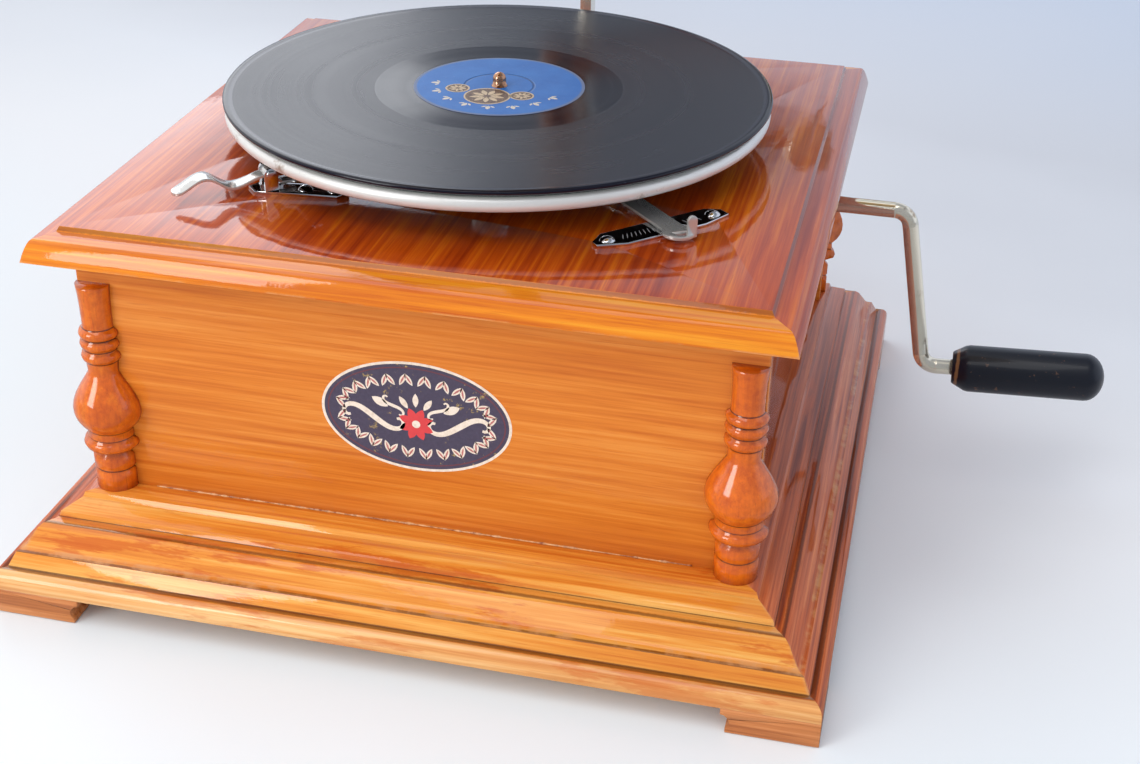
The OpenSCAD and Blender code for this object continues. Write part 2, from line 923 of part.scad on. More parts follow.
module spring_barrel() {
  color("goldenrod")
  translate([barrel_p[0], barrel_p[1], barrel_z])
    difference() {
      union() {
        cylinder(h = barrel_h - cover_t, r = barrel_r);
        rotate([0, 0, mesh_angle(barrel_p, centre_p)])
          linear_extrude(height = barrel_gear_t)
            gear_outline(barrel_teeth, barrel_pitch_r);
      }
      translate([0, 0, barrel_wall])
        cylinder(h = barrel_h, r = barrel_r - barrel_wall);
      translate([0, 0, -1])
        cylinder(h = barrel_wall + 2, r = arbor_r + run_gap);
    }
}

// Direction from one axis to another
function mesh_angle(from, to) = atan2(to[1] - from[1], to[0] - from[0]);

module barrel_cover() {
  color("goldenrod")
  translate([barrel_p[0], barrel_p[1], barrel_top - cover_t])
    difference() {
      union() {
        cylinder(h = cover_t, r = barrel_r);
        translate([0, 0, -1.5])
          cylinder(h = 1.5, r = barrel_r - barrel_wall - run_gap);
      }
      translate([0, 0, -2])
        cylinder(h = cover_t + 3, r = arbor_r + run_gap);
    }
}

// Coiled strip from the arbor out to the barrel wall
module mainspring() {
  first = arbor_r + 1.4;
  last = barrel_r - barrel_wall - run_gap;
  steps = spring_turns * 20;
  grow = (last - spring_t - first) / steps;
  edge = [for (i = [0 : steps]) let(a = i * 18) [first + grow * i, a]];
  color("steelblue")
  translate([barrel_p[0], barrel_p[1], barrel_z + barrel_wall + 1])
    linear_extrude(height = barrel_h - barrel_wall - cover_t - 4)
      polygon(concat([for (q = edge) q[0] * [cos(q[1]), sin(q[1])]],
        [for (i = [steps : -1 : 0]) (edge[i][0] + spring_t) * [cos(edge[i][1]), sin(edge[i][1])]]));
}

module barrel_arbor() {
  color("silver")
  translate([barrel_p[0], barrel_p[1], 0]) {
    translate([0, 0, bottom_z])
      cylinder(h = plate_top - bottom_z, r = arbor_r - 2);
    translate([0, 0, floor_z + move_gap])
      cylinder(h = ratchet_z - floor_z - move_gap, r = arbor_r);
    translate([0, 0, barrel_z - 3 - move_gap])
      cylinder(h = 3, r = arbor_r + 3);
    translate([0, 0, ratchet_z])
      cylinder(h = plate_z - move_gap - ratchet_z, r = arbor_r - 1);
  }
}

// Sawtooth outline of the ratchet, steep on the side that holds the spring's pull
module ratchet_outline() {
  step = 360 / ratchet_teeth;
  polygon([for (i = [0 : ratchet_teeth - 1], s = [0, 1])
    let(a = (i + s * 0.97) * step, r = s == 0 ? ratchet_r - ratchet_depth : ratchet_r)
    r * [cos(a), sin(a)]]);
}

module winding_wheel() {
  stretch = norm([bevel_r, bevel_pinion_r]) / bevel_pinion_r;
  tooth_h = bevel_pinion_r * (1 - bevel_keep);
  root_r = bevel_r - tooth_down * 2 * bevel_r / bevel_teeth * stretch + 0.2;
  color("gold")
  translate([barrel_p[0], barrel_p[1], 0])
    difference() {
      union() {
        translate([0, 0, ratchet_z])
          rotate([0, 0, pawl_angle - pawl_swing() - 1.2])
            linear_extrude(height = ratchet_t)
              ratchet_outline();
        translate([0, 0, ratchet_z])
          cylinder(h = bevel_z - ratchet_z, r = arbor_r + 4);
        translate([0, 0, bevel_z - wheel_disc_t])
          cylinder(h = wheel_disc_t, r1 = bevel_r + 2, r2 = root_r);
        rotate([0, 0, 180 / bevel_teeth]) {
          translate([0, 0, bevel_z - wheel_disc_t])
            linear_extrude(height = wheel_disc_t)
              gear_outline(bevel_teeth, bevel_r, stretch);
          translate([0, 0, bevel_z])
            linear_extrude(height = tooth_h, scale = bevel_keep)
              gear_outline(bevel_teeth, bevel_r, stretch);
        }
      }
      translate([0, 0, ratchet_z - 1])
        cylinder(h = plate_z, r = arbor_r - 1 + run_gap);
    }
}

// Angle between the pawl's pivot and its tip, seen from the arbor
function pawl_swing() = acos((ratchet_r + 0.4) / pawl_d);

module pawl() {
  tip = barrel_p + (ratchet_r + 0.4) * [cos(pawl_angle - pawl_swing()), sin(pawl_angle - pawl_swing())];
  along = unit(tip - pawl_p);
  reach = norm(tip - pawl_p);
  color("silver")
  translate([pawl_p[0], pawl_p[1], ratchet_z])
    rotate([0, 0, atan2(along[1], along[0])])
      linear_extrude(height = ratchet_t)
        difference() {
          union() {
            circle(r = 4.6);
            polygon([[0, -3], [reach * 0.55, 1], [reach, 0], [reach, 1.6], [reach * 0.7, 5], [0, 4.6]]);
          }
          circle(r = pawl_stud_r + run_gap);
        }
}

module winding_shaft() {
  tooth_l = bevel_r * (1 - bevel_keep);
  stretch = norm([bevel_r, bevel_pinion_r]) / bevel_r;
  color("silver")
  translate([0, crank_y, crank_z])
    rotate([0, 90, 0])
      difference() {
        union() {
          translate([0, 0, pinion_big_x])
            mirror([0, 0, 1])
              linear_extrude(height = tooth_l, scale = bevel_keep)
                gear_outline(bevel_pinion_teeth, bevel_pinion_r, stretch);
          translate([0, 0, pinion_big_x])
            cylinder(h = pinion_hub_l, r = bevel_pinion_r - 1.6);
          translate([0, 0, pinion_big_x])
            cylinder(h = shaft_end_x - pinion_big_x, r = shaft_r_in);
        }
        translate([0, 0, socket_x])
          cylinder(h = shaft_end_x - socket_x + 1, r = rod_r + run_gap);
      }
}

module crank_bush() {
  flange_t = 2;
  color("goldenrod")
  translate([inner_x, crank_y, crank_z])
    rotate([0, 90, 0])
      difference() {
        union() {
          cylinder(h = panel_t, r = bush_r - run_gap);
          translate([0, 0, panel_t])
            cylinder(h = flange_t, r = bush_r + 3);
        }
        translate([0, 0, -1])
          cylinder(h = panel_t + flange_t + 2, r = rod_r + run_gap);
      }
}

module centre_arbor() {
  pinion_z = centre_wheel_z + centre_wheel_t + 1.5;
  color("silver")
  translate([centre_p[0], centre_p[1], 0]) {
    translate([0, 0, bottom_z])
      cylinder(h = plate_top - bottom_z, r = pivot_r);
    translate([0, 0, floor_z + move_gap])
      cylinder(h = plate_z - floor_z - 2 * move_gap, r = 3);
    translate([0, 0, pinion_z])
      rotate([0, 0, mesh_angle(centre_p, barrel_p) + 180 / centre_pinion_teeth])
        linear_extrude(height = barrel_gear_t + 2)
          gear_outline(centre_pinion_teeth, centre_pinion_r);
  }
}

module centre_wheel() {
  color("gold")
  translate([centre_p[0], centre_p[1], centre_wheel_z])
    difference() {
      rotate([0, 0, mesh_angle(centre_p, [0, 0])])
        linear_extrude(height = centre_wheel_t)
          difference() {
            gear_outline(centre_teeth, centre_pitch_r);
            for (i = [0 : 4])
              rotate(i * 72 + 20)
                difference() {
                  sector(9, centre_pitch_r - 5, 52);
                  translate([9, 0])
                    circle(r = 2);
                }
          }
      translate([0, 0, -1])
        cylinder(h = centre_wheel_t + 2, r = 3 + run_gap);
    }
}

module spindle() {
  top = record_top + tip_h;
  color("rosybrown") {
    translate([0, 0, bottom_z])
      cylinder(h = felt_z - bottom_z, r = spindle_pivot_r);
    translate([0, 0, floor_z + move_gap])
      cylinder(h = felt_z - floor_z - move_gap, r = spindle_r);
    translate([0, 0, hub_z - 3])
      cylinder(h = 3, r = shoulder_r);
    translate([0, 0, felt_z])
      cylinder(h = record_top - felt_z, r = seat_r);
    translate([0, 0, record_top])
      cylinder(h = top - tip_r - record_top, r = tip_r);
    translate([0, 0, top - tip_r])
      sphere(r = tip_r);
    translate([0, 0, centre_wheel_z - 0.5])
      rotate([0, 0, mesh_angle([0, 0], centre_p) + 180 / spindle_teeth])
        linear_extrude(height = centre_wheel_t + 1)
          gear_outline(spindle_teeth, spindle_pitch_r);
  }
}

module worm_wheel() {
  lean = 2 * PI * worm_r / worm_lead;
  twist = worm_wheel_t / lean / worm_wheel_r * 180 / PI;
  color("saddlebrown")
  translate([0, 0, worm_z])
    difference() {
      union() {
        rotate([0, 0, -90 - twist / 2])
          translate([0, 0, -worm_wheel_t / 2])
            linear_extrude(height = worm_wheel_t, twist = -twist, slices = 3)
              gear_outline(worm_wheel_teeth, worm_wheel_r);
        translate([0, 0, -worm_wheel_t / 2])
          cylinder(h = worm_wheel_t + 4, r = spindle_r + 3);
      }
      translate([0, 0, -worm_wheel_t])
        cylinder(h = 3 * worm_wheel_t, r = spindle_r + run_gap);
    }
}

// Lobed section of the worm
module worm_outline() {
  low = worm_r - worm_depth_in * gear_module;
  high = worm_r + worm_depth_out * gear_module;
  polygon([for (i = [0 : 8 * worm_starts - 1]) let(a = i * 360 / (8 * worm_starts))
    (low + (high - low) * ((1 + cos(worm_starts * a)) / 2) ^ 1.7) * [cos(a), sin(a)]]);
}

module governor_shaft() {
  spin = 360 * worm_l / worm_lead;
  color("silver")
  translate([0, governor_y, worm_z])
    rotate([0, 90, 0]) {
      translate([0, 0, -worm_l / 2])
        rotate([0, 0, 90 + 180 / worm_starts - spin / 2])
          linear_extrude(height = worm_l, twist = -spin, slices = 22)
            worm_outline();
      translate([0, 0, governor_x0 + bracket_t + move_gap])
        cylinder(h = governor_x1 - governor_x0 - 2 * bracket_t - 2 * move_gap, r = governor_r);
      translate([0, 0, governor_x0])
        cylinder(h = governor_x1 - governor_x0, r = pivot_r);
      translate([0, 0, collar_x])
        cylinder(h = collar_l, r = collar_r_in);
    }
}

module governor_springs() {
  chord = sleeve_x - collar_x - collar_l;
  bow = (chord ^ 2 / 4 + spring_rise ^ 2) / (2 * spring_rise);
  half = asin(chord / 2 / bow);
  mid = collar_x + collar_l + chord / 2;
  color("steelblue")
  translate([0, governor_y, worm_z])
    for (i = [0 : 2])
      rotate([120 * i, 0, 0])
        rotate([90, 0, 0])
          linear_extrude(height = leaf_w, center = true) {
            translate([mid, collar_r_in + leaf_t / 2 + spring_rise - bow])
              rotate(90 - half)
                sector(bow - leaf_t / 2, bow + leaf_t / 2, 2 * half);
            for (x = [collar_x, sleeve_x])
              translate([x, collar_r_in])
                square([collar_l + 0.1, leaf_t]);
          }
}

module governor_weights() {
  mid = (collar_x + collar_l + sleeve_x) / 2;
  seat = collar_r_in + leaf_t + spring_rise;
  color("dimgray")
  translate([0, governor_y, worm_z])
    for (i = [0 : 2])
      rotate([120 * i, 0, 0])
        difference() {
          translate([mid - 6, 0, weight_circle])
            rotate([0, 90, 0])
              cylinder(h = 12, r = 4.5);
          translate([mid - 10, -10, seat - 20])
            cube([20, 20, 20]);
        }
}

module governor_disc() {
  color("goldenrod")
  translate([0, governor_y, worm_z])
    rotate([0, 90, 0])
      difference() {
        union() {
          translate([0, 0, sleeve_x])
            cylinder(h = disc_x - sleeve_x, r = collar_r_in);
          translate([0, 0, disc_x])
            cylinder(h = disc_t, r = disc_r);
        }
        translate([0, 0, sleeve_x - 1])
          cylinder(h = disc_x - sleeve_x + disc_t + 2, r = governor_r + run_gap);
      }
}

// Angle bracket under the motor plate with a bearing bore along X
module bearing_bracket(x, y, z, bore, half_w, foot_side) {
  foot_len = 8;
  difference() {
    union() {
      translate([x, y - half_w, z])
        cube([bracket_t, 2 * half_w, plate_z - z]);
      translate([x, y, z])
        rotate([0, 90, 0])
          cylinder(h = bracket_t, r = half_w);
      translate([foot_side > 0 ? x : x + bracket_t - foot_len, y - half_w, plate_z - bracket_t])
        cube([foot_len, 2 * half_w, bracket_t]);
    }
    translate([x - 1, y, z])
      rotate([0, 90, 0])
        cylinder(h = bracket_t + 2, r = bore + run_gap);
  }
}

module bearing_brackets() {
  color("slategray") {
    bearing_bracket(governor_x0, governor_y, worm_z, pivot_r, 4, -1);
    bearing_bracket(governor_x1 - bracket_t, governor_y, worm_z, pivot_r, 4, 1);
    bearing_bracket(pinion_big_x + pinion_hub_l + 2, crank_y, crank_z, shaft_r_in, 7, 1);
    bearing_bracket(socket_x - 20, crank_y, crank_z, shaft_r_in, 7, 1);
  }
}

module speed_lever() {
  pad_y = governor_y - pad_drop;
  pad_face = disc_x + disc_t + pad_travel + move_gap;
  arm_end = [pad_face + pad_l + 2.5, pad_y];
  color("silver")
  difference() {
    translate([0, 0, cam_z - cam_t / 2])
      linear_extrude(height = cam_t) {
        translate(speed_p)
          circle(r = 5);
        translate([speed_p[0] - tail_w / 2, speed_p[1] - tail_l - 3])
          square([tail_w, tail_l + 3]);
        strip_along([speed_p, arm_end], 5, 1);
        translate(arm_end)
          circle(r = 2.5);
        translate([pad_face, pad_y - 2.2])
          square([pad_l + 2.5, 4.4]);
      }
    translate([speed_p[0], speed_p[1], cam_z - cam_t])
      cylinder(h = 2 * cam_t, r = speed_r + run_gap);
  }
}

module platter() {
  bead = rim_h / 2;
  color("silver")
  rotate_extrude($fn = 128) {
    translate([platter_r - bead, rim_z + bead])
      circle(r = bead, $fn = 32);
    translate([spindle_r + run_gap, felt_z - platter_t])
      square([platter_r - bead - spindle_r - run_gap, platter_t]);
    translate([spindle_r + run_gap, hub_z])
      square([hub_r - spindle_r - run_gap, felt_z - hub_z]);
  }
}

module platter_felt() {
  color("darkgreen")
  translate([0, 0, felt_z])
    difference() {
      cylinder(h = felt_t, r = platter_r - 2, $fn = 128);
      translate([0, 0, -1])
        cylinder(h = felt_t + 2, r = seat_r + run_gap);
    }
}

module record() {
  low = 0.5;
  color("black")
  translate([0, 0, record_z])
    rotate_extrude($fn = 128)
      polygon([[seat_r + run_gap, 0], [record_r - 1, 0], [record_r, 1], [record_r, record_t - 0.7],
        [record_r - 0.6, record_t], [record_r - 2.4, record_t], [record_r - 4, record_t - low],
        [run_out_r, record_t - low], [run_out_r - 0.6, record_t - low - 0.2],
        [label_r + 1, record_t - low - 0.2], [label_r, record_t - low],
        [seat_r + run_gap, record_t - low]]);
}

// Places of the round-headed screws on the board
function deck_screw_places() = concat(
  [for (u = plate_screws) [brake_x, brake_y] + u * [cos(plate_dir), sin(plate_dir)]],
  [for (s = [-1, 1]) [scale_x, scale_y] + s * scale_pitch / 2 * [cos(scale_dir), sin(scale_dir)]]);

module deck_screws() {
  color("silver")
  for (q = deck_screw_places())
    translate([q[0], q[1], deck_z + sheet_t])
      difference() {
        union() {
          translate([0, 0, -deck_screw_l])
            cylinder(h = deck_screw_l, r = deck_screw_r);
          intersection() {
            ball_r = (deck_head_r ^ 2 + deck_head_h ^ 2) / (2 * deck_head_h);
            translate([0, 0, deck_head_h - ball_r])
              sphere(r = ball_r);
            cylinder(h = deck_head_h, r = deck_head_r);
          }
        }
        slot_cut(deck_head_h, deck_head_r);
      }
}

module brake_plate() {
  tab_in = brake_body_w / 2 + move_gap;
  tab_top = brake_z + 3.2;
  color("silver")
  translate([brake_x, brake_y, deck_z]) {
    difference() {
      rotate([0, 0, plate_dir])
        linear_extrude(height = sheet_t)
          polygon([[-9, 0], [-5, -5.5], [31, -5.5], [35, 0], [31, 5.5], [-5, 5.5]]);
      for (u = plate_screws)
        rotate([0, 0, plate_dir])
          translate([u, 0, -1])
            cylinder(h = sheet_t + 2, r = deck_screw_r + screw_gap);
    }
    rotate([0, 0, brake_dir]) {
      for (s = [-1, 1])
        translate([0, s * (tab_in + sheet_t / 2), 0])
          rotate([90, 0, 0])
            linear_extrude(height = sheet_t, center = true) {
              translate([-3, 0])
                square([6, tab_top - 3]);
              translate([0, tab_top - 3])
                circle(r = 3);
            }
      translate([0, 0, brake_z])
        rotate([90, 0, 0]) {
          cylinder(h = 2 * (tab_in + sheet_t), r = rivet_r, center = true);
          for (s = [-1, 1])
            translate([0, 0, s * (tab_in + sheet_t + 0.4)])
              cylinder(h = 0.8, r = rivet_r + 0.9, center = true);
        }
    }
  }
}

// Height of the finger lever's middle line at a distance from its pivot
function spoon_z(u) = let(knots = [[0, brake_z], [16, 4.6], [28, 10.6], [brake_l, 5.4]],
  i = u < 16 ? 0 : u < 28 ? 1 : 2, a = knots[i], b = knots[i + 1], k = (u - a[0]) / (b[0] - a[0]))
  a[1] + (b[1] - a[1]) * (1 - cos(180 * k)) / 2;

module brake_lever() {
  pad_u = -20;
  pad_h = 2;
  pad_z = felt_z - platter_t - deck_z - 2.2 - pad_h;
  steps = [for (i = [0 : 24]) brake_l * i / 24];
  color("silver")
  translate([brake_x, brake_y, deck_z])
    rotate([0, 0, brake_dir])
      difference() {
        union() {
          intersection() {
            rotate([90, 0, 0])
              linear_extrude(height = 20, center = true) {
                strip_along([[0, brake_z], [-5, 3.6], [-11, 3.6], [pad_u, pad_z], [pad_u - 3, pad_z]],
                  sheet_t, 1);
                translate([pad_u - 3, pad_z])
                  square([5, pad_h]);
              }
            linear_extrude(height = 40)
              spoon_plan();
          }
          intersection() {
            rotate([90, 0, 0])
              linear_extrude(height = 20, center = true)
                polygon(concat([for (u = steps) [u, spoon_z(u) + sheet_t / 2]],
                  [for (i = [24 : -1 : 0]) [steps[i], spoon_z(steps[i]) - sheet_t / 2]]));
            linear_extrude(height = 40)
              spoon_plan();
          }
          translate([0, 0, brake_z])
            rotate([90, 0, 0])
              cylinder(h = brake_body_w, r = 2.6, center = true);
        }
        translate([0, 0, brake_z])
          rotate([90, 0, 0])
            cylinder(h = 20, r = rivet_r + run_gap, center = true);
      }
}

// Circle at a place of a flat outline
module circle_at(x, y, r) {
  translate([x, y])
    circle(r = r);
}

// Outline of the brake lever seen from above
module spoon_plan() {
  half = brake_body_w / 2;
  wide = brake_w / 2;
  round_x = brake_l - wide;
  translate([-25, -half])
    square([33, 2 * half]);
  polygon([[8, -half], [18, -wide], [round_x, -wide], [round_x, wide], [18, wide], [8, half]]);
  circle_at(round_x, 0, wide);
}

module regulator_plate() {
  half = scale_l / 2;
  wide = scale_w / 2;
  color("silver")
  translate([scale_x, scale_y, deck_z])
    rotate([0, 0, scale_dir])
      difference() {
        linear_extrude(height = sheet_t)
          polygon([[-half, 1.5], [-half, -2], [-half + 12, -wide], [half - 14, -wide], [half, -3],
            [half, 2.5], [half - 6, wide], [-half + 7, wide]]);
        for (s = [-1, 1])
          translate([s * scale_pitch / 2, 0, -1])
            cylinder(h = sheet_t + 2, r = deck_screw_r + screw_gap);
      }
}

module regulator_lever() {
  lever_z = deck_z + sheet_t + move_gap;
  eye = pointer_l - 7;
  tab_h = 9.5;
  color("silver")
  translate([pointer_p[0], pointer_p[1], 0]) {
    translate([0, 0, lever_z])
      rotate([0, 0, pointer_dir]) {
        linear_extrude(height = sheet_t)
          difference() {
            union() {
              circle(r = 6.5);
              translate([0, -pointer_w / 2])
                square([eye, pointer_w]);
              circle_at(eye, 0, 7);
            }
            difference() {
              circle_at(eye + 1, 0.5, 4);
              circle_at(eye - 1.4, 0.5, 4);
            }
          }
        translate([pointer_l - sheet_t - 1, 0.6, 0])
          rotate([90, 0, 90])
            linear_extrude(height = sheet_t) {
              square([4.4, tab_h - 2.2]);
              circle_at(2.2, tab_h - 2.2, 2.2);
            }
      }
    translate([0, 0, cam_z - cam_t / 2])
      cylinder(h = lever_z + sheet_t - cam_z + cam_t / 2, r = regulator_r);
    translate([0, -cam_offset, cam_z - cam_t / 2])
      cylinder(h = cam_t, r = cam_r);
    translate([-regulator_r, -cam_offset, cam_z - cam_t / 2])
      cube([2 * regulator_r, cam_offset, cam_t]);
  }
}

// Corners of the crank rod in its own plane, from the winding shaft to the handle's end
function crank_path() = let(low = [crank_out + crank_splay, crank_z - crank_arm])
  [[socket_x + 1, crank_z], [crank_out, crank_z], low,
    low + (handle_start + handle_l - 7) * [cos(handle_tilt), sin(handle_tilt)]];

module crank_rod() {
  color("silver")
  translate([0, crank_y, 0])
    rotate([90, 0, 0])
      rod_along(crank_path(), rod_r, crank_bend);
}

module crank_handle() {
  low = crank_path()[2];
  face = rod_r + 3.6;
  cone = 6;
  dome = 9;
  color("black")
  translate([low[0], crank_y, low[1]])
    rotate([0, 90 - handle_tilt, 0])
      difference() {
        translate([0, 0, handle_start])
          rotate_extrude($fn = 64)
            polygon(concat([[0, 0], [face, 0], [face + 0.6, 0.6], [handle_r - 0.5, cone], [handle_r, cone + 2]],
              [for (i = [0 : 8]) let(a = i * 11.25)
                [handle_r * cos(a), handle_l - dome + dome * sin(a)]]));
        translate([0, 0, handle_start - 1])
          cylinder(h = handle_l - 5, r = rod_r + run_gap);
      }
}

// Places of the bracket's screws on the back panel
function bracket_screw_places() = [for (x = [-1, 1], z = [-1, 1])
  [stem_x + x * (bracket_plate_w / 2 - 6), bracket_z() + z * (bracket_plate_h / 2 - 6)]];
// Height of the middle of the bracket's plate
function bracket_z() = ledge_z + panel_h * 0.56;

module rear_bracket() {
  color("silver")
  difference() {
    union() {
      translate([stem_x, face_half + bracket_plate_t, bracket_z()])
        rotate([90, 0, 0])
          linear_extrude(height = bracket_plate_t)
            round_plate([-bracket_plate_w / 2, -bracket_plate_h / 2],
              [bracket_plate_w / 2, bracket_plate_h / 2], 7);
      translate([stem_x - stem_t / 2, 0, 0])
        rotate([90, 0, 90])
          linear_extrude(height = stem_t)
            strip_along([[face_half + 1, bracket_z()], [stem_y, bracket_z()],
              [stem_y, ring_z + ring_h / 2], [pivot_y + 5, ring_z + ring_h / 2]], stem_w, 16);
      translate([pivot_x, pivot_y, ring_z])
        cylinder(h = ring_h, r = ring_r);
    }
    translate([pivot_x, pivot_y, ring_z - 1])
      cylinder(h = ring_h + 2, r = tube_r + run_gap);
    for (q = bracket_screw_places())
      translate([q[0], face_half + bracket_plate_t + 1, q[1]])
        rotate([90, 0, 0])
          cylinder(h = bracket_plate_t + 2, r = screw_r + screw_gap);
  }
}

module arm_swivel() {
  cheek_in = knuckle_half + move_gap;
  color("goldenrod")
  translate([pivot_x, pivot_y, 0])
    rotate([0, 0, park_angle])
      difference() {
        union() {
          translate([0, 0, yoke_z])
            cylinder(h = swivel_h, r = tube_r + run_gap + sleeve_wall);
          translate([0, 0, yoke_z])
            cylinder(h = yoke_t, r = cheek_in + cheek_t);
          for (s = [-1, 1]) {
            translate([-6, s > 0 ? cheek_in : -cheek_in - cheek_t, arm_z])
              cube([12, cheek_t, yoke_z - arm_z + 1]);
            translate([0, s > 0 ? cheek_in : -cheek_in - cheek_t, arm_z])
              rotate([-90, 0, 0])
                cylinder(h = cheek_t, r = 6);
            translate([0, s > 0 ? cheek_in - 4 : -cheek_in, arm_z])
              rotate([-90, 0, 0])
                cylinder(h = 4, r = lift_r);
          }
        }
        translate([0, 0, yoke_z + yoke_t])
          cylinder(h = swivel_h, r = tube_r + run_gap);
        translate([0, 0, yoke_z - 1])
          cylinder(h = yoke_t + 2, r = tube_r - tube_wall);
      }
}

module tonearm() {
  tip = [box_u, box_v];
  color("goldenrod")
  translate([pivot_x, pivot_y, arm_z])
    rotate([0, 0, park_angle])
      difference() {
        union() {
          rotate([90, 0, 0])
            cylinder(h = 2 * knuckle_half, r = knuckle_r, center = true);
          rod_along([[0, 0], [box_u, 0], tip], arm_r, 13);
        }
        rod_along([[6, 0], [box_u, 0], tip - [0, 5]], arm_r - tube_wall, 13);
        for (s = [-1, 1])
          translate([0, s * (knuckle_half - 1.5), 0])
            rotate([90, 0, 0])
              cylinder(h = 5, r = lift_r + run_gap, center = true);
      }
}

// Places its children at the sound box, with +Z along the box's axis away from the arm
module at_box() {
  translate([pivot_x, pivot_y, arm_z])
    rotate([0, 0, park_angle])
      translate([box_u, box_v, 0])
        rotate([90, 0, 0])
          children();
}

module soundbox() {
  face_t = 3;
  color("silver")
  at_box()
    difference() {
      union() {
        translate([0, 0, move_gap])
          cylinder(h = box_t - face_t - move_gap, r = box_r);
        translate([0, 0, box_t - face_t])
          cylinder(h = face_t, r1 = box_r, r2 = box_r - 2);
        translate([0, 0, move_gap])
          cylinder(h = 4, r = box_r + 0.8);
      }
      translate([0, 0, box_back_t])
        cylinder(h = box_t, r = box_r - rim_t);
      translate([0, 0, -1])
        cylinder(h = box_t, r = arm_r - tube_wall);
      translate([-3, -box_r - 2, box_t - 4])
        cube([6, 8, 6]);
    }
}

module diaphragm() {
  color("lightgray")
  at_box()
    translate([0, 0, box_back_t])
      difference() {
        cylinder(h = 3, r = box_r - rim_t - run_gap);
        translate([0, 0, -1])
          cylinder(h = 3, r = box_r - rim_t - 2);
        translate([0, 0, 2.5])
          cylinder(h = 1, r = box_r - rim_t - 1.5);
      }
}

// Places its children on the needle's line, with +Z towards the tip
module at_chuck() {
  at_box()
    translate([0, chuck_y, chuck_z])
      rotate([0, 90, -needle_fall])
        children();
}

// Bar that carries the needle's shake to the diaphragm
module needle_bar() {
  bar_w = 2.4;
  bar_t = 1.2;
  screw_neck = 4;
  color("silver")
  difference() {
    union() {
      at_box() {
        translate([-bar_w / 2, chuck_y, chuck_z - bar_t / 2])
          cube([bar_w, -chuck_y + 1, bar_t]);
        translate([0, 0, box_back_t + 3])
          cylinder(h = chuck_z - box_back_t - 3, r = 1.6);
        translate([0, chuck_y, chuck_z + chuck_r - 0.5])
          cylinder(h = screw_neck, r = 1.2);
        translate([0, chuck_y, chuck_z + chuck_r + screw_neck - 1.5])
          cylinder(h = 2.5, r = 3);
      }
      at_chuck()
        cylinder(h = chuck_l, r = chuck_r, center = true);
    }
    at_chuck()
      cylinder(h = chuck_l + 2, r = needle_r + run_gap, center = true);
  }
}

module needle() {
  point_l = 4;
  color("silver")
  at_chuck()
    rotate_extrude()
      polygon([[0, -chuck_l / 2], [needle_r, -chuck_l / 2], [needle_r, needle_l - point_l],
        [0.2, needle_l], [0, needle_l]]);
}

// Corners of the elbow in the upright plane, forwards and up
function elbow_path(low, far) = let(a = horn_lean)
  [[0, low], [0, elbow_top], [0, elbow_top] + far * [cos(a), sin(a)]];

module horn_elbow() {
  color("goldenrod")
  translate([pivot_x, pivot_y, 0])
    difference() {
      union() {
        rotate([90, 0, -90])
          rod_along(elbow_path(elbow_low, elbow_far), tube_r, elbow_bend);
        translate([0, 0, ring_z + ring_h + run_gap])
          cylinder(h = 3, r = ring_r - 1);
      }
      rotate([90, 0, -90])
        rod_along(elbow_path(elbow_low - 2, elbow_far + 2), tube_r - tube_wall, elbow_bend);
    }
}

// Share of a petal's fullness at an angle round the horn
function petal(a) = abs(cos(petals / 2 * a)) ^ 0.7;
// Radius of the horn at a share of its length, at the crease between petals
function flare(k) = let(throat = tube_r + run_gap + horn_wall)
  throat * (mouth_r / throat) ^ (k ^ 1.12);

// Horn of pressed petals with a flared and scalloped mouth
module horn() {
  rings = 16;
  around = petals * 8;
  levels = [for (i = [0 : rings]) 1 - (1 - i / rings) ^ 1.6];
  outer = [for (k = levels, j = [0 : around - 1]) let(a = j * 360 / around,
    r = flare(k) + 13 * k ^ 3 * petal(a), z = horn_l * k + 14 * k ^ 5 * (petal(a) - 0.6))
    [r * cos(a), r * sin(a), z]];
  inner = [for (q = outer) let(r = norm([q[0], q[1]])) [q[0] * (1 - horn_wall / r),
    q[1] * (1 - horn_wall / r), q[2] + horn_wall * 0.6 * (q[2] / horn_l) ^ 2]];
  count = (rings + 1) * around;
  faces = concat(
    [for (i = [0 : rings - 1], j = [0 : around - 1], s = [0, 1])
      let(a = i * around + j, b = i * around + (j + 1) % around, c = a + around, d = b + around)
      s == 0 ? [a, c, b] : [b, c, d]],
    [for (i = [0 : rings - 1], j = [0 : around - 1], s = [0, 1])
      let(a = count + i * around + j, b = count + i * around + (j + 1) % around,
        c = a + around, d = b + around)
      s == 0 ? [a, b, c] : [b, d, c]],
    [for (j = [0 : around - 1], s = [0, 1])
      let(a = j, b = (j + 1) % around, c = a + count, d = b + count)
      s == 0 ? [a, b, c] : [b, d, c]],
    [for (j = [0 : around - 1], s = [0, 1])
      let(low = rings * around, a = low + j, b = low + (j + 1) % around, c = a + count, d = b + count)
      s == 0 ? [a, c, b] : [b, c, d]]);
  color("gold")
  translate([pivot_x, pivot_y, elbow_top])
    rotate([90 - horn_lean, 0, 0])
      translate([0, 0, horn_start])
        polyhedron(points = concat(outer, inner), faces = faces);
}

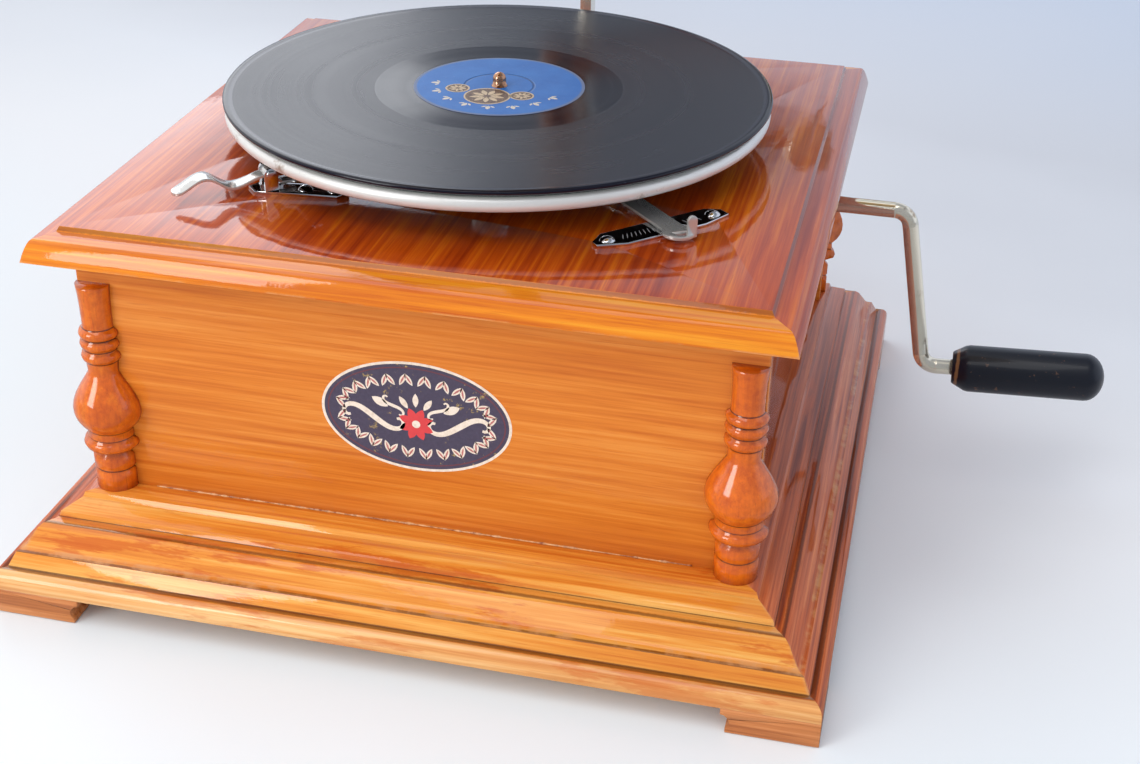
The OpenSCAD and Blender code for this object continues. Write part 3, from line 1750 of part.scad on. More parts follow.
top_board();
front_panel();
back_panel();
left_panel();
right_panel();
columns();
moulding_front();
moulding_back();
moulding_left();
moulding_right();
skirt_front();
skirt_back();
skirt_left();
skirt_right();
feet();
bottom_board();
corner_posts();
wood_screws();
motor_plate();
bottom_plate();
motor_pillars();
motor_bolts();
rubber_washers();
spring_barrel();
barrel_cover();
mainspring();
barrel_arbor();
winding_wheel();
pawl();
winding_shaft();
crank_bush();
centre_arbor();
centre_wheel();
spindle();
worm_wheel();
governor_shaft();
governor_weights();
governor_springs();
governor_disc();
bearing_brackets();
speed_lever();
platter();
platter_felt();
record();
brake_plate();
brake_lever();
deck_screws();
regulator_plate();
regulator_lever();
crank_rod();
crank_handle();
rear_bracket();
arm_swivel();
tonearm();
soundbox();
diaphragm();
needle_bar();
needle();
horn_elbow();
horn();
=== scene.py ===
"""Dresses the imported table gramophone: studio, finishes, and the small pieces the CAD leaves out.

All lengths are in metres in the frame of the CAD part: +Z up, the front panel faces -Y, and the
origin is on the ground under the middle of the case.
"""

import math
import random

import bmesh
import bpy
from mathutils import Matrix, Vector


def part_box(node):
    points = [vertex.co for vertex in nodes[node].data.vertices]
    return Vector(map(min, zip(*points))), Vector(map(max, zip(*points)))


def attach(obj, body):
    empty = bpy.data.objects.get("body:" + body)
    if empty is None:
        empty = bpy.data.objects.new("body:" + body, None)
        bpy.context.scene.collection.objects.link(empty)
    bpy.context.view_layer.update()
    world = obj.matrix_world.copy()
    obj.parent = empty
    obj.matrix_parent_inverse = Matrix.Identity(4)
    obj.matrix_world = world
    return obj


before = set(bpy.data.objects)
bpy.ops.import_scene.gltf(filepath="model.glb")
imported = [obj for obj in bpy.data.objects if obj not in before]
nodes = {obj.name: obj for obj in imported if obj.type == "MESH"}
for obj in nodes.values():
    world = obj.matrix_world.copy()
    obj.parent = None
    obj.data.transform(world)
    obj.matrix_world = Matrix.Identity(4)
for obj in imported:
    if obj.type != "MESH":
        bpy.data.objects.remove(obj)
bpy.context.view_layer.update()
MM = 0.001


# Sizes read from the frame

def low(node):
    """Lowest corner of a CAD node."""
    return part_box(node)[0]


def high(node):
    """Highest corner of a CAD node."""
    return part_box(node)[1]


DECK_Z = high("top_board").z
FACE_Y = low("front_panel").y
LEDGE_Z = low("front_panel").z
RECORD_TOP = high("record").z
RECORD_R = high("record").x
COLUMN_FOOT = low("columns").z
COLUMN_LENGTH = high("columns").z - COLUMN_FOOT
FIELD_HALF = high("top_board").x - 12.8 * MM

# Record and its label, in metres

BEAD_IN = 3.4 * MM
RUN_OUT_R = 57 * MM
LABEL_R = 39.2 * MM
LABEL_HOLE = 3.75 * MM
LABEL_SUNK = 0.38 * MM
LABEL_THICK = 0.1 * MM

# Printed ornament, in millimetres: layers stand a hair over what they are printed on

FIRST_LAYER = 0.005
NEXT_LAYER = 0.02
PRINT_THICK = 0.02
SEALS = ((-1.6, -15.4, 10.6), (-17.4, -8.6, 5.6), (13.4, -10.8, 5.6))
SPRAY_R = 29.6
BADGE_A = 41.5
BADGE_B = 26.0
BADGE_AT = (1.5, 102.0)
BADGE_LAYER = 0.05
GARLAND_A = 33.2
GARLAND_B = 17.6
GARLAND_HALF = 1.3
ROSETTE_V = -3.4
ROSETTE_R = 4.4

# Regulator's scale plate, in millimetres

SCALE_AT = (92.0, -84.5)
SCALE_TOP = 1.3
POINTER_AT = (68.39, -55.81)

# Bead of glue at the foot of the front panel

GLUE_REACH = 121 * MM
GLUE_STEPS = 150
GLUE_SIDES = 6

# Wood tones: light, middle and dark, as screen values

HONEY = ((234, 150, 66), (218, 124, 40), (190, 90, 22))
AMBER = ((238, 176, 90), (226, 142, 50), (196, 98, 22))
RUSSET = ((220, 114, 14), (188, 74, 6), (146, 42, 2))
# The sides' tones are darker copies of the case's wood: painted shade for the faces turned away from
# the lamps.
SHADED_SIDE_WOOD = ((176, 74, 36), (140, 48, 20), (88, 24, 8))
SHADED_SIDE_MOULDING = ((222, 124, 66), (190, 90, 38), (122, 44, 12))
GOLD = ((238, 158, 36), (226, 128, 16), (192, 86, 8))
PALE = ((240, 192, 132), (228, 164, 98), (198, 118, 54))
FOOT = ((216, 144, 90), (196, 120, 66), (140, 72, 34))
COLUMN = ((240, 146, 30), (222, 104, 4), (150, 46, 2))
RAW = ((206, 170, 122), (184, 146, 98), (140, 100, 60))
# Colour of the dark lines in the grooves: painted shade and dirt.
GROOVE_SHADE_AND_DIRT = (62, 26, 12)
RUN_TONE = (196, 84, 12)

# Grooves darkened with painted shade and dirt: height and half width in millimetres on the base,
# share of the length on a column

MOULDING_STEPS = ((38.9, 0.16), (38.0, 0.2))
MOULDING_FOOT = ((27.5, 0.2),)
SKIRT_TOP = ((27.3, 0.2),)
SKIRT_STEP = ((21.0, 0.2),)
COLUMN_RINGS = (0.1, 0.19, 0.262, 0.30, 0.633, 0.69, 0.745, 0.797)

# Camera fitted to the photo: focus in the photo's pixels, and place and directions in metres

PHOTO_WIDTH = 1140
FOCUS_PX = 1693.56
SENSOR = 36.0
EYE = Vector((0.198097, -0.717384, 0.461627))
RIGHT = Vector((0.97310968, 0.22973789, 0.01667489))
UP = Vector((-0.12661597, 0.47302758, 0.87190212))

# Light: colours of the room by direction, and the floor's painted shade in tones from front to back

ROOM_BRIGHT = (1.02, 1.04, 1.07)
ROOM_DIM = (0.26, 0.29, 0.34)
ROOM_LOW = (0.70, 0.77, 0.90)
BRIGHT_SIDE = (-0.75, -0.66, 0.0)
DARK_SPOT = (-0.191, 0.937, 0.292)
FLOOR_HALF = 6.0
FLOOR_Z = -0.0003
FLOOR_SHADE_TONES = ((0.0, (240, 247, 251)), (0.14, (240, 241, 244)), (0.24, (230, 233, 239)),
               (0.37, (205, 208, 216)), (0.6, (194, 203, 219)))
LAMP_AIM = (0, 0, 0.12)


# Materials

class Paint:
    """A node material being put together around one Principled shader."""

    def __init__(self, name):
        self.material = bpy.data.materials.new(name)
        self.material.use_nodes = True
        self.tree = self.material.node_tree
        self.shader = self.tree.nodes["Principled BSDF"]

    def add(self, kind, inputs=(), **settings):
        """A new node, with its inputs given by name or number as values or as other sockets."""
        node = self.tree.nodes.new("ShaderNode" + kind)
        for key, value in settings.items():
            setattr(node, key, value)
        for key, value in dict(inputs).items():
            self.feed(node.inputs[key], value)
        return node

    def feed(self, socket, value):
        """Links a socket to the input, or sets the input's own value."""
        if isinstance(value, bpy.types.NodeSocket):
            self.tree.links.new(value, socket)
        else:
            socket.default_value = value

    def set(self, **inputs):
        """Inputs of the shader, with spaces in their names written as underscores."""
        for key, value in inputs.items():
            self.feed(self.shader.inputs[key.replace("_", " ")], value)
        return self

    def place(self, scale=(1, 1, 1), turn=(0, 0, 0), shift=(0, 0, 0)):
        """Position on the object in metres, moved, turned and scaled."""
        where = self.add("TexCoord").outputs["Object"]
        return self.add("Mapping", {"Vector": where, "Scale": scale, "Rotation": turn,
                                    "Location": shift}).outputs[0]

    def spot(self, kind="Object"):
        """X, Y and Z of the position on the object, or of the face's direction with Normal."""
        return self.add("SeparateXYZ", {0: self.add("TexCoord").outputs[kind]}).outputs

    def radius(self):
        """Distance from the vertical axis through the origin."""
        spot = self.spot()
        flat = self.add("CombineXYZ", {0: spot["X"], 1: spot["Y"], 2: 0.0}).outputs[0]
        return self.add("VectorMath", {0: flat}, operation="LENGTH").outputs["Value"]

    def noise(self, where, scale, detail=3.0, rough=0.5, warp=0.0):
        """Soft random field from 0 to 1."""
        return self.add("TexNoise", {"Vector": where, "Scale": scale, "Detail": detail,
                                     "Roughness": rough, "Distortion": warp}).outputs["Fac"]

    def math(self, kind, a, b=0.0, clamp=False):
        """Result of an arithmetic operation on one or two numbers."""
        return self.add("Math", {0: a, 1: b}, operation=kind, use_clamp=clamp).outputs[0]

    def ramp(self, value, *stops):
        """Colour or grey by value: stops are (place, grey or colour)."""
        node = self.add("ValToRGB", {"Fac": value})
        bar = node.color_ramp
        while len(bar.elements) < len(stops):
            bar.elements.new(0.5)
        for element, (spot, tone) in zip(bar.elements, stops):
            element.position = spot
            element.color = colour(tone)
        return node.outputs["Color"]

    def mix(self, share, a, b, kind="MIX"):
        """Two colours mixed by a share."""
        node = self.add("Mix", data_type="RGBA", blend_type=kind)
        for socket, value in zip((node.inputs[0], node.inputs[6], node.inputs[7]), (share, a, b)):
            self.feed(socket, value if isinstance(value, bpy.types.NodeSocket)
                      or socket.type == "VALUE" else colour(value))
        return node.outputs[2]

    def bump(self, height, strength, depth, normal=None):
        """Normal that a height gives, over another normal where there is one."""
        inputs = {"Height": height, "Strength": strength, "Distance": depth}
        if normal is not None:
            inputs["Normal"] = normal
        return self.add("Bump", inputs).outputs[0]

    def hollow(self, reach, inside=False):
        """1 on open faces, falling to 0 in grooves, or along edges when looked at from inside."""
        return self.add("AmbientOcclusion", {"Distance": reach}, samples=8, inside=inside,
                        only_local=True).outputs["AO"]


def colour(tone):
    """Grey number, (r, g, b) of 0-255 screen values, or ready colour, as a linear RGBA colour."""
    if isinstance(tone, (int, float)):
        return (tone, tone, tone, 1)
    if len(tone) == 4:
        return tone
    return tuple(linear(v / 255) for v in tone) + (1,)


def linear(v):
    """Screen value from 0 to 1 as linear light."""
    return v / 12.92 if v <= 0.04045 else ((v + 0.055) / 1.055) ** 2.4


ALONG = {"X": (0, 0, 0), "Y": (0, 0, math.pi / 2), "Z": (0, math.pi / 2, 0)}


def grain(paint, axis, shift, light, mid, dark, figure=1.0, streaks=1.0):
    """Colour and height of straight wood grain along an axis."""
    where = paint.place(turn=ALONG[axis], shift=shift)
    slow = paint.add("Mapping", {"Vector": where, "Scale": (3, 46, 46)}).outputs[0]
    fine = paint.add("Mapping", {"Vector": where, "Scale": (9, 420, 420)}).outputs[0]
    pore = paint.add("Mapping", {"Vector": where, "Scale": (60, 1500, 1500)}).outputs[0]
    bands = paint.noise(slow, 1.0, 4.0, 0.55, 0.5)
    lines = paint.noise(fine, 1.0, 3.0, 0.6, 0.2)
    pores = paint.noise(pore, 1.0, 1.0)
    tone = paint.math("ADD", paint.math("MULTIPLY", paint.math("SUBTRACT", bands, 0.5), figure),
                      paint.math("MULTIPLY", paint.math("SUBTRACT", lines, 0.5), streaks))
    tone = paint.math("ADD", tone, 0.5, clamp=True)
    wood = paint.ramp(tone, (0.22, dark), (0.5, mid), (0.74, light))
    pits = paint.ramp(pores, (0.62, 0.0), (0.74, 1.0))
    wood = paint.mix(paint.math("MULTIPLY", pits, 0.35), wood, dark)
    return wood, lines


def varnish(paint, wood, lines, wear=(214, 150, 92), dirt_and_shade=(52, 20, 8), dirt_and_shade_reach=0.004,
            gloss=0.035, coat=1.0, thick=1.5):
    """Glossy varnish over a wood colour, darkened in grooves and hollows by painted shade and dirt,
    and worn along sharp edges.
    """
    # Hollows found by ambient occlusion take the dark colour: painted shade and dirt.
    groove_shade_and_dirt = paint.ramp(paint.hollow(dirt_and_shade_reach), (0.42, 1.0), (0.88, 0.0))
    edge = paint.ramp(paint.hollow(0.0016, inside=True), (0.45, 1.0), (0.75, 0.0))
    scuff = paint.ramp(paint.noise(paint.place(), 90, 4, 0.6), (0.45, 0.0), (0.62, 1.0))
    crease_shade_and_dirt = paint.ramp(paint.hollow(0.0011), (0.50, 1.0), (0.80, 0.0))
    tone = paint.mix(paint.math("MULTIPLY", groove_shade_and_dirt, 0.75), wood, dirt_and_shade)
    tone = paint.mix(paint.math("MULTIPLY", crease_shade_and_dirt, 0.85), tone, tuple(0.5 * v for v in dirt_and_shade))
    tone = paint.mix(paint.math("MULTIPLY", paint.math("MULTIPLY", edge, scuff), 0.75), tone, wear)
    ripple = paint.noise(paint.place(), 34, 2.0, 0.45)
    dust = paint.noise(paint.place(), 620, 2.0, 0.6)
    skin = paint.bump(ripple, 0.12, 0.0035)
    skin = paint.bump(dust, 0.05, 0.0004, skin)
    paint.set(Base_Color=tone, Roughness=0.5, Specular_IOR_Level=0.12, Coat_Weight=coat,
              Coat_Roughness=gloss, Coat_IOR=thick, Normal=paint.bump(lines, 0.10, 0.0003),
              Coat_Normal=skin)
    return paint.material


def line_at(paint, where, place, half, ragged=0.5):
    """1 on a ragged line where a coordinate equals a place in metres, 0 away from it."""
    rough = paint.noise(paint.place(), 420, 4, 0.7)
    off = paint.math("ABSOLUTE", paint.math("SUBTRACT", where, place))
    off = paint.math("ADD", paint.math("DIVIDE", off, 3 * half),
                     paint.math("MULTIPLY", paint.math("SUBTRACT", rough, 0.5), ragged))
    return paint.ramp(off, (0.22, 1.0), (0.42, 0.0))


def plain_wood(name, axis, shift, light, mid, dark, figure=1.0, streaks=1.0, grooves=(), runs=0.0,
               foot=None, **finish):
    """Varnished wood, with grooves at some heights darkened by painted shade and dirt, runs in the
    varnish or a paler foot.
    """
    paint = Paint(name)
    wood, lines = grain(paint, axis, shift, light, mid, dark, figure, streaks)
    height = paint.spot()["Z"]
    if foot:
        lower, _ = grain(paint, axis, shift, *PALE, figure=figure, streaks=streaks)
        wood = paint.mix(paint.math("LESS_THAN", height, foot), wood, lower)
    if runs:
        along = (9, 60, 60) if axis == "X" else (60, 9, 60)
        patch = paint.noise(paint.place(scale=along, shift=(0.7, 0.2, 0.1)), 1.0, 6.0, 0.72)
        patch = paint.ramp(patch, (0.54, 0.0), (0.58, 1.0))
        wood = paint.mix(paint.math("MULTIPLY", patch, runs), wood, RUN_TONE)
    # A dark line along each groove: painted shade and dirt.
    for place, half in grooves:
        line = line_at(paint, height, place * MM, half * MM, 0.25)
        wood = paint.mix(paint.math("MULTIPLY", line, 0.65), wood, GROOVE_SHADE_AND_DIRT)
    return varnish(paint, wood, lines, **finish)


def board_paint():
    """Top board: grain front to back on the field, and along each edge moulding."""
    paint = Paint("board_varnish")
    field, lines = grain(paint, "Y", (0.3, 0.1, 0), *RUSSET, figure=0.9, streaks=0.9)
    side, _ = grain(paint, "Y", (1.1, 0.4, 0), *RUSSET, figure=0.7, streaks=0.9)
    front, _ = grain(paint, "X", (0.7, 0.2, 0), *GOLD, figure=1.0, streaks=1.0)
    spot = paint.spot()
    across = paint.math("ABSOLUTE", spot["X"])
    deep = paint.math("ABSOLUTE", spot["Y"])
    on_front = paint.math("MULTIPLY", paint.math("GREATER_THAN", deep, FIELD_HALF),
                          paint.math("GREATER_THAN", deep, across))
    on_side = paint.math("GREATER_THAN", across, FIELD_HALF)
    wood = paint.mix(on_side, field, side)
    wood = paint.mix(on_front, wood, front)
    step = line_at(paint, paint.math("MAXIMUM", across, deep), FIELD_HALF + 0.5 * MM, 0.5 * MM, 0.4)
    wood = paint.mix(paint.math("MULTIPLY", step, 0.5), wood, (74, 32, 20))
    return varnish(paint, wood, lines, dirt_and_shade_reach=0.003, gloss=0.05)


def column_paint():
    """Turned columns: amber with darker red mottling, and black in the turned grooves from painted
    shade and dirt.
    """
    paint = Paint("column_varnish")
    wood, lines = grain(paint, "Z", (0.2, 0.6, 0), *COLUMN, figure=0.5, streaks=0.3)
    blotch = paint.ramp(paint.noise(paint.place(), 260, 5, 0.7), (0.42, 0.0), (0.68, 1.0))
    wood = paint.mix(paint.math("MULTIPLY", blotch, 0.5), wood, (164, 52, 4))
    height = paint.spot()["Z"]
    # Dark lines at the turned rings: painted shade and dirt.
    for share in COLUMN_RINGS:
        line = line_at(paint, height, COLUMN_FOOT + share * COLUMN_LENGTH, 0.28 * MM)
        wood = paint.mix(paint.math("MULTIPLY", line, 0.8), wood, (58, 20, 8))
    return varnish(paint, wood, lines, dirt_and_shade=(40, 14, 6), dirt_and_shade_reach=0.005, gloss=0.09,
                   thick=1.7)


def metal_paint(name, tone, rough, stain=None, stain_share=0.0, stain_scale=60, brushed=0.0,
                bare=1.0):
    """Metal with faint wear in its gloss and, where given, a stain in patches."""
    paint = Paint(name)
    cloud = paint.noise(paint.place(), 75, 4, 0.6)
    grainy = paint.noise(paint.place(scale=(900, 900, 30)), 1.0, 2)
    base = paint.mix(paint.math("MULTIPLY", cloud, 0.3), tone, tuple(0.78 * v for v in tone))
    if stain:
        patch = paint.ramp(paint.noise(paint.place(), stain_scale, 5, 0.7),
                           (0.62 - stain_share, 0.0), (0.70 - stain_share / 2, 1.0))
        base = paint.mix(paint.math("MULTIPLY", patch, 0.8), base, stain)
    spread = paint.math("ADD", paint.math("MULTIPLY", cloud, rough * 0.8), rough * 0.6)
    return paint.set(Base_Color=base, Metallic=bare, Roughness=spread,
                     Normal=paint.bump(grainy, 0.04 + brushed, 0.0002))


def metal(name, tone, rough, **more):
    """Material of a metal."""
    return metal_paint(name, tone, rough, **more).material


def platter_paint():
    """Nickel rim with brown tarnish, and a dull black underside that also stands for painted shade.
    """
    paint = metal_paint("platter_nickel", (246, 244, 240), 0.40, stain=(150, 116, 84),
                        stain_share=0.03, stain_scale=38, bare=0.5)
    # Faces turned downwards are painted dull black: the black underside together with painted shade
    # beneath the platter.
    facing = paint.spot("Normal")["Z"]
    underside_black_and_shade = paint.ramp(paint.math("MULTIPLY", facing, -1.0), (0.80, 0.0), (0.90, 1.0))
    bright = paint.shader.inputs["Base Color"].links[0].from_socket
    spread = paint.shader.inputs["Roughness"].links[0].from_socket
    paint.set(Base_Color=paint.mix(underside_black_and_shade, bright, (14, 12, 12)),
              Roughness=paint.math("MAXIMUM", spread, paint.math("MULTIPLY", underside_black_and_shade, 0.7)))
    return paint.material


def record_paint():
    """Pressed black disc: fine grooves, glossier run-out and bead, and a painted highlight along the
    bead.
    """
    paint = Paint("record_black")
    radius = paint.radius()
    outward = paint.add("CombineXYZ", {0: radius, 1: 0.0, 2: 0.0}).outputs[0]
    turns = paint.noise(outward, 1400, 2, 0.7)
    bands = paint.noise(outward, 130, 3, 0.6)
    grooved = paint.math("MULTIPLY", paint.math("GREATER_THAN", radius, RUN_OUT_R),
                         paint.math("LESS_THAN", radius, RECORD_R - 4.5 * MM))
    dust = paint.ramp(paint.noise(paint.place(), 520, 4, 0.7), (0.60, 0.0), (0.80, 1.0))
    smear = paint.noise(paint.place(), 16, 3, 0.55)
    base = paint.mix(paint.math("MULTIPLY", dust, 0.16), (9, 8, 26), (108, 106, 124))
    for ring, half in ((RUN_OUT_R, 0.35), (RUN_OUT_R - 5 * MM, 0.18), (LABEL_R + 3 * MM, 0.18)):
        line = line_at(paint, radius, ring, half * MM, 0.15)
        base = paint.mix(paint.math("MULTIPLY", line, 0.8), base, (44, 45, 56))
    # The bead is painted paler all round: a painted highlight.
    bead = line_at(paint, radius, RECORD_R - BEAD_IN, 0.9 * MM, 0.5)
    base = paint.mix(paint.math("MULTIPLY", bead, 0.35), base, (96, 98, 112))
    rough = paint.math("ADD", paint.math("MULTIPLY", grooved, 0.11), 0.05)
    rough = paint.math("ADD", rough, paint.math("MULTIPLY", bands, 0.14))
    rough = paint.math("ADD", rough, paint.math("MULTIPLY", smear, 0.06))
    height = paint.math("MULTIPLY", turns, grooved)
    paint.set(Base_Color=base, Roughness=rough, Specular_IOR_Level=0.42, Anisotropic=0.1,
              Tangent=paint.add("Tangent", direction_type="RADIAL", axis="Z").outputs[0],
              Normal=paint.bump(height, 0.25, 0.0002))
    return paint.material


def plain(name, tone, rough, spot=None, scale=200, share=0.3, metallic=0.0, depth=0.00005, **more):
    """Dull or glossy solid finish with a faint speckle."""
    paint = Paint(name)
    speck = paint.noise(paint.place(), scale, 4, 0.65)
    base = paint.mix(paint.math("MULTIPLY", paint.ramp(speck, (0.45, 0.0), (0.7, 1.0)), share),
                     tone, spot or tuple(0.7 * v for v in tone))
    paint.set(Base_Color=base, Roughness=rough, Metallic=metallic,
              Normal=paint.bump(speck, 0.3, depth), **more)
    return paint.material


def felt_paint():
    """Green felt."""
    paint = Paint("green_felt")
    fuzz = paint.noise(paint.place(), 1500, 4, 0.8)
    paint.set(Base_Color=paint.ramp(fuzz, (0.3, (18, 34, 26)), (0.7, (40, 66, 50))), Roughness=0.95,
              Sheen_Weight=0.6, Normal=paint.bump(fuzz, 0.8, 0.0004))
    return paint.material


def handle_paint():
    """Black lacquer on turned wood, rubbed through in small chips."""
    paint = Paint("handle_black")
    chips = paint.ramp(paint.noise(paint.place(), 300, 5, 0.7), (0.64, 0.0), (0.67, 1.0))
    worn = paint.ramp(paint.hollow(0.002, inside=True), (0.35, 1.0), (0.8, 0.0))
    patch = paint.ramp(paint.noise(paint.place(), 160, 4, 0.6), (0.42, 0.0), (0.6, 1.0))
    rub = paint.math("MAXIMUM", paint.math("MULTIPLY", worn, patch),
                     paint.math("MULTIPLY", chips, 0.35))
    base = paint.mix(rub, (18, 22, 34), (150, 104, 72))
    collar = line_at(paint, paint.spot()["X"], low("crank_handle").x + 2.6 * MM, 0.7 * MM, 0.9)
    base = paint.mix(paint.math("MULTIPLY", collar, 0.8), base, (142, 100, 66))
    skin = paint.bump(paint.noise(paint.place(), 260, 3), 0.12, 0.0004)
    paint.set(Base_Color=base, Roughness=0.36, Specular_IOR_Level=0.3, Coat_Weight=0.25,
              Coat_Roughness=0.1, Normal=skin)
    return paint.material


def smooth(node, angle=32, bevel=0.0):
    """Joins a CAD node's faces, softens its sharp edges a little and shades it smooth."""
    weld = node.modifiers.new("weld", "WELD")
    weld.merge_threshold = 0.000002
    if bevel:
        edge = node.modifiers.new("edge", "BEVEL")
        edge.width = bevel
        edge.segments = 2
        edge.limit_method = "ANGLE"
        edge.angle_limit = math.radians(40)
        edge.harden_normals = False
    shade(node, angle)


def shade(obj, angle=32):
    """Smooth shading with sharp edges kept where faces meet at more than the angle."""
    mesh = obj.data
    for face in mesh.polygons:
        face.use_smooth = True
    if mesh.has_custom_normals:
        with bpy.context.temp_override(object=obj, active_object=obj, selected_objects=[obj]):
            bpy.ops.mesh.customdata_custom_splitnormals_clear()
    with bpy.context.temp_override(object=obj, active_object=obj, selected_objects=[obj],
                                   selected_editable_objects=[obj]):
        bpy.ops.object.shade_auto_smooth(angle=math.radians(angle))


def finish(material, *names, angle=32, bevel=0.0):
    """Gives CAD nodes a material, smooth shading and softened edges."""
    for name in names:
        node = nodes[name]
        node.data.materials.clear()
        node.data.materials.append(material)
        smooth(node, angle, bevel)


def dress_case():
    """Finishes of the wooden case."""
    finish(board_paint(), "top_board", bevel=0.0005)
    finish(plain_wood("front_varnish", "X", (0.4, 0.9, 0), *HONEY, figure=0.6, streaks=0.8,
                      coat=0.75),
           "front_panel", "back_panel", bevel=0.0003)
    # The side panels take the darker copy of the wood: painted shade.
    finish(plain_wood("side_varnish_painted_shade", "Y", (0.8, 0.3, 0), *SHADED_SIDE_WOOD), "left_panel", "right_panel",
           bevel=0.0003)
    finish(plain_wood("base_front_varnish", "X", (0.15, 0.5, 0), *AMBER, figure=0.9,
                      grooves=MOULDING_STEPS + MOULDING_FOOT, runs=0.6),
           "moulding_front", "moulding_back", bevel=0.0004)
    # The side mouldings take the darker copy of the wood: painted shade.
    finish(plain_wood("base_side_varnish_painted_shade", "Y", (0.55, 0.25, 0), *SHADED_SIDE_MOULDING, figure=0.8,
                      grooves=MOULDING_STEPS, runs=0.4, coat=0.7),
           "moulding_left", "moulding_right", bevel=0.0004)
    finish(plain_wood("skirt_front_varnish", "X", (0.95, 0.7, 0), *AMBER, figure=1.0,
                      grooves=SKIRT_TOP + SKIRT_STEP, runs=0.4, foot=20.7 * MM),
           "skirt_front", "skirt_back", bevel=0.0004)
    # The side skirts take the darker copy of the wood: painted shade.
    finish(plain_wood("skirt_side_varnish_painted_shade", "Y", (0.05, 0.15, 0), *SHADED_SIDE_MOULDING, figure=0.8,
                      grooves=SKIRT_STEP, runs=0.3, coat=0.7),
           "skirt_left", "skirt_right", bevel=0.0004)
    finish(plain_wood("foot_varnish", "X", (0.35, 0.8, 0), *FOOT, gloss=0.12), "feet",
           bevel=0.0005)
    finish(column_paint(), "columns", angle=26)
    finish(plain_wood("raw_board", "X", (0.6, 0.1, 0), *RAW, coat=0.0, gloss=0.5),
           "bottom_board", "corner_posts")


def dress_metal():
    """Finishes of the deck's fittings, the crank, the motor, the tone arm and the horn."""
    nickel = metal("nickel", (254, 249, 234), 0.14, bare=0.78)
    chrome = metal("chrome", (228, 228, 230), 0.05)
    steel = metal("steel", (150, 152, 156), 0.26, brushed=0.05)
    brass = metal("brass", (212, 168, 92), 0.20, stain=(128, 84, 36), stain_share=0.02)
    copper = metal("copper_brass", (206, 136, 92), 0.16, stain=(120, 66, 40), stain_share=0.04)
    finish(platter_paint(), "platter", bevel=0.0005)
    finish(chrome, "brake_plate", "regulator_plate", "deck_screws", angle=28, bevel=0.00015)
    finish(metal("lever_nickel", (226, 224, 220), 0.16, bare=0.7), "brake_lever", "regulator_lever",
           angle=28, bevel=0.00015)
    finish(metal("crank_nickel", (255, 246, 226), 0.09, stain=(150, 122, 96), stain_share=0.02,
                 bare=0.8), "crank_rod", bevel=0.0002)
    finish(nickel, "rear_bracket", "soundbox", "needle_bar", bevel=0.0002)
    finish(steel, "wood_screws", "motor_pillars", "motor_bolts", "barrel_arbor", "winding_wheel",
           "pawl", "winding_shaft", "centre_arbor", "governor_shaft", "bearing_brackets",
           "speed_lever", "needle")
    finish(metal("spindle_copper", (204, 156, 126), 0.18, stain=(120, 74, 48), stain_share=0.08),
           "spindle")
    finish(metal("blued_steel", (92, 100, 128), 0.25), "mainspring", "governor_springs")
    finish(brass, "spring_barrel", "barrel_cover", "crank_bush", "centre_wheel", "worm_wheel",
           "governor_weights", "governor_disc")
    finish(copper, "arm_swivel", "tonearm", "horn_elbow", bevel=0.0002)
    finish(metal("horn_brass", (226, 178, 92), 0.16, stain=(142, 88, 36), stain_share=0.04,
                 stain_scale=22), "horn", angle=50)
    finish(plain("motor_black", (30, 30, 32), 0.45), "motor_plate", "bottom_plate")
    finish(plain("washer_rubber", (96, 44, 30), 0.8), "rubber_washers")
    finish(plain("mica", (206, 196, 160), 0.2, Alpha=0.8), "diaphragm")


def dress_turntable():
    """Finishes of the record, the felt and the crank's handle."""
    finish(record_paint(), "record", angle=24)
    even = nodes["record"].modifiers.new("even", "WEIGHTED_NORMAL")
    even.keep_sharp = True
    finish(felt_paint(), "platter_felt")
    finish(handle_paint(), "crank_handle", angle=30)


# Studio

def make_camera():
    """Camera at the place and angle from which the photo was taken."""
    data = bpy.data.cameras.new("camera")
    data.sensor_width = SENSOR
    data.lens = FOCUS_PX / PHOTO_WIDTH * SENSOR
    data.clip_start = 0.01
    camera = bpy.data.objects.new("camera", data)
    bpy.context.scene.collection.objects.link(camera)
    back = RIGHT.cross(UP)
    turn = Matrix((RIGHT, UP, back)).transposed().to_4x4()
    camera.matrix_world = Matrix.Translation(EYE) @ turn
    bpy.context.scene.camera = camera


def lamp(name, place, size, power, tone=(1, 1, 1)):
    """Rectangular soft lamp at a place, pointed at the case."""
    data = bpy.data.lights.new(name, "AREA")
    data.shape = "RECTANGLE"
    data.size, data.size_y = size
    data.energy = power
    data.color = tone
    obj = bpy.data.objects.new(name, data)
    bpy.context.scene.collection.objects.link(obj)
    obj.location = place
    obj.rotation_euler = (Vector(LAMP_AIM) - Vector(place)).to_track_quat("-Z", "Y").to_euler()


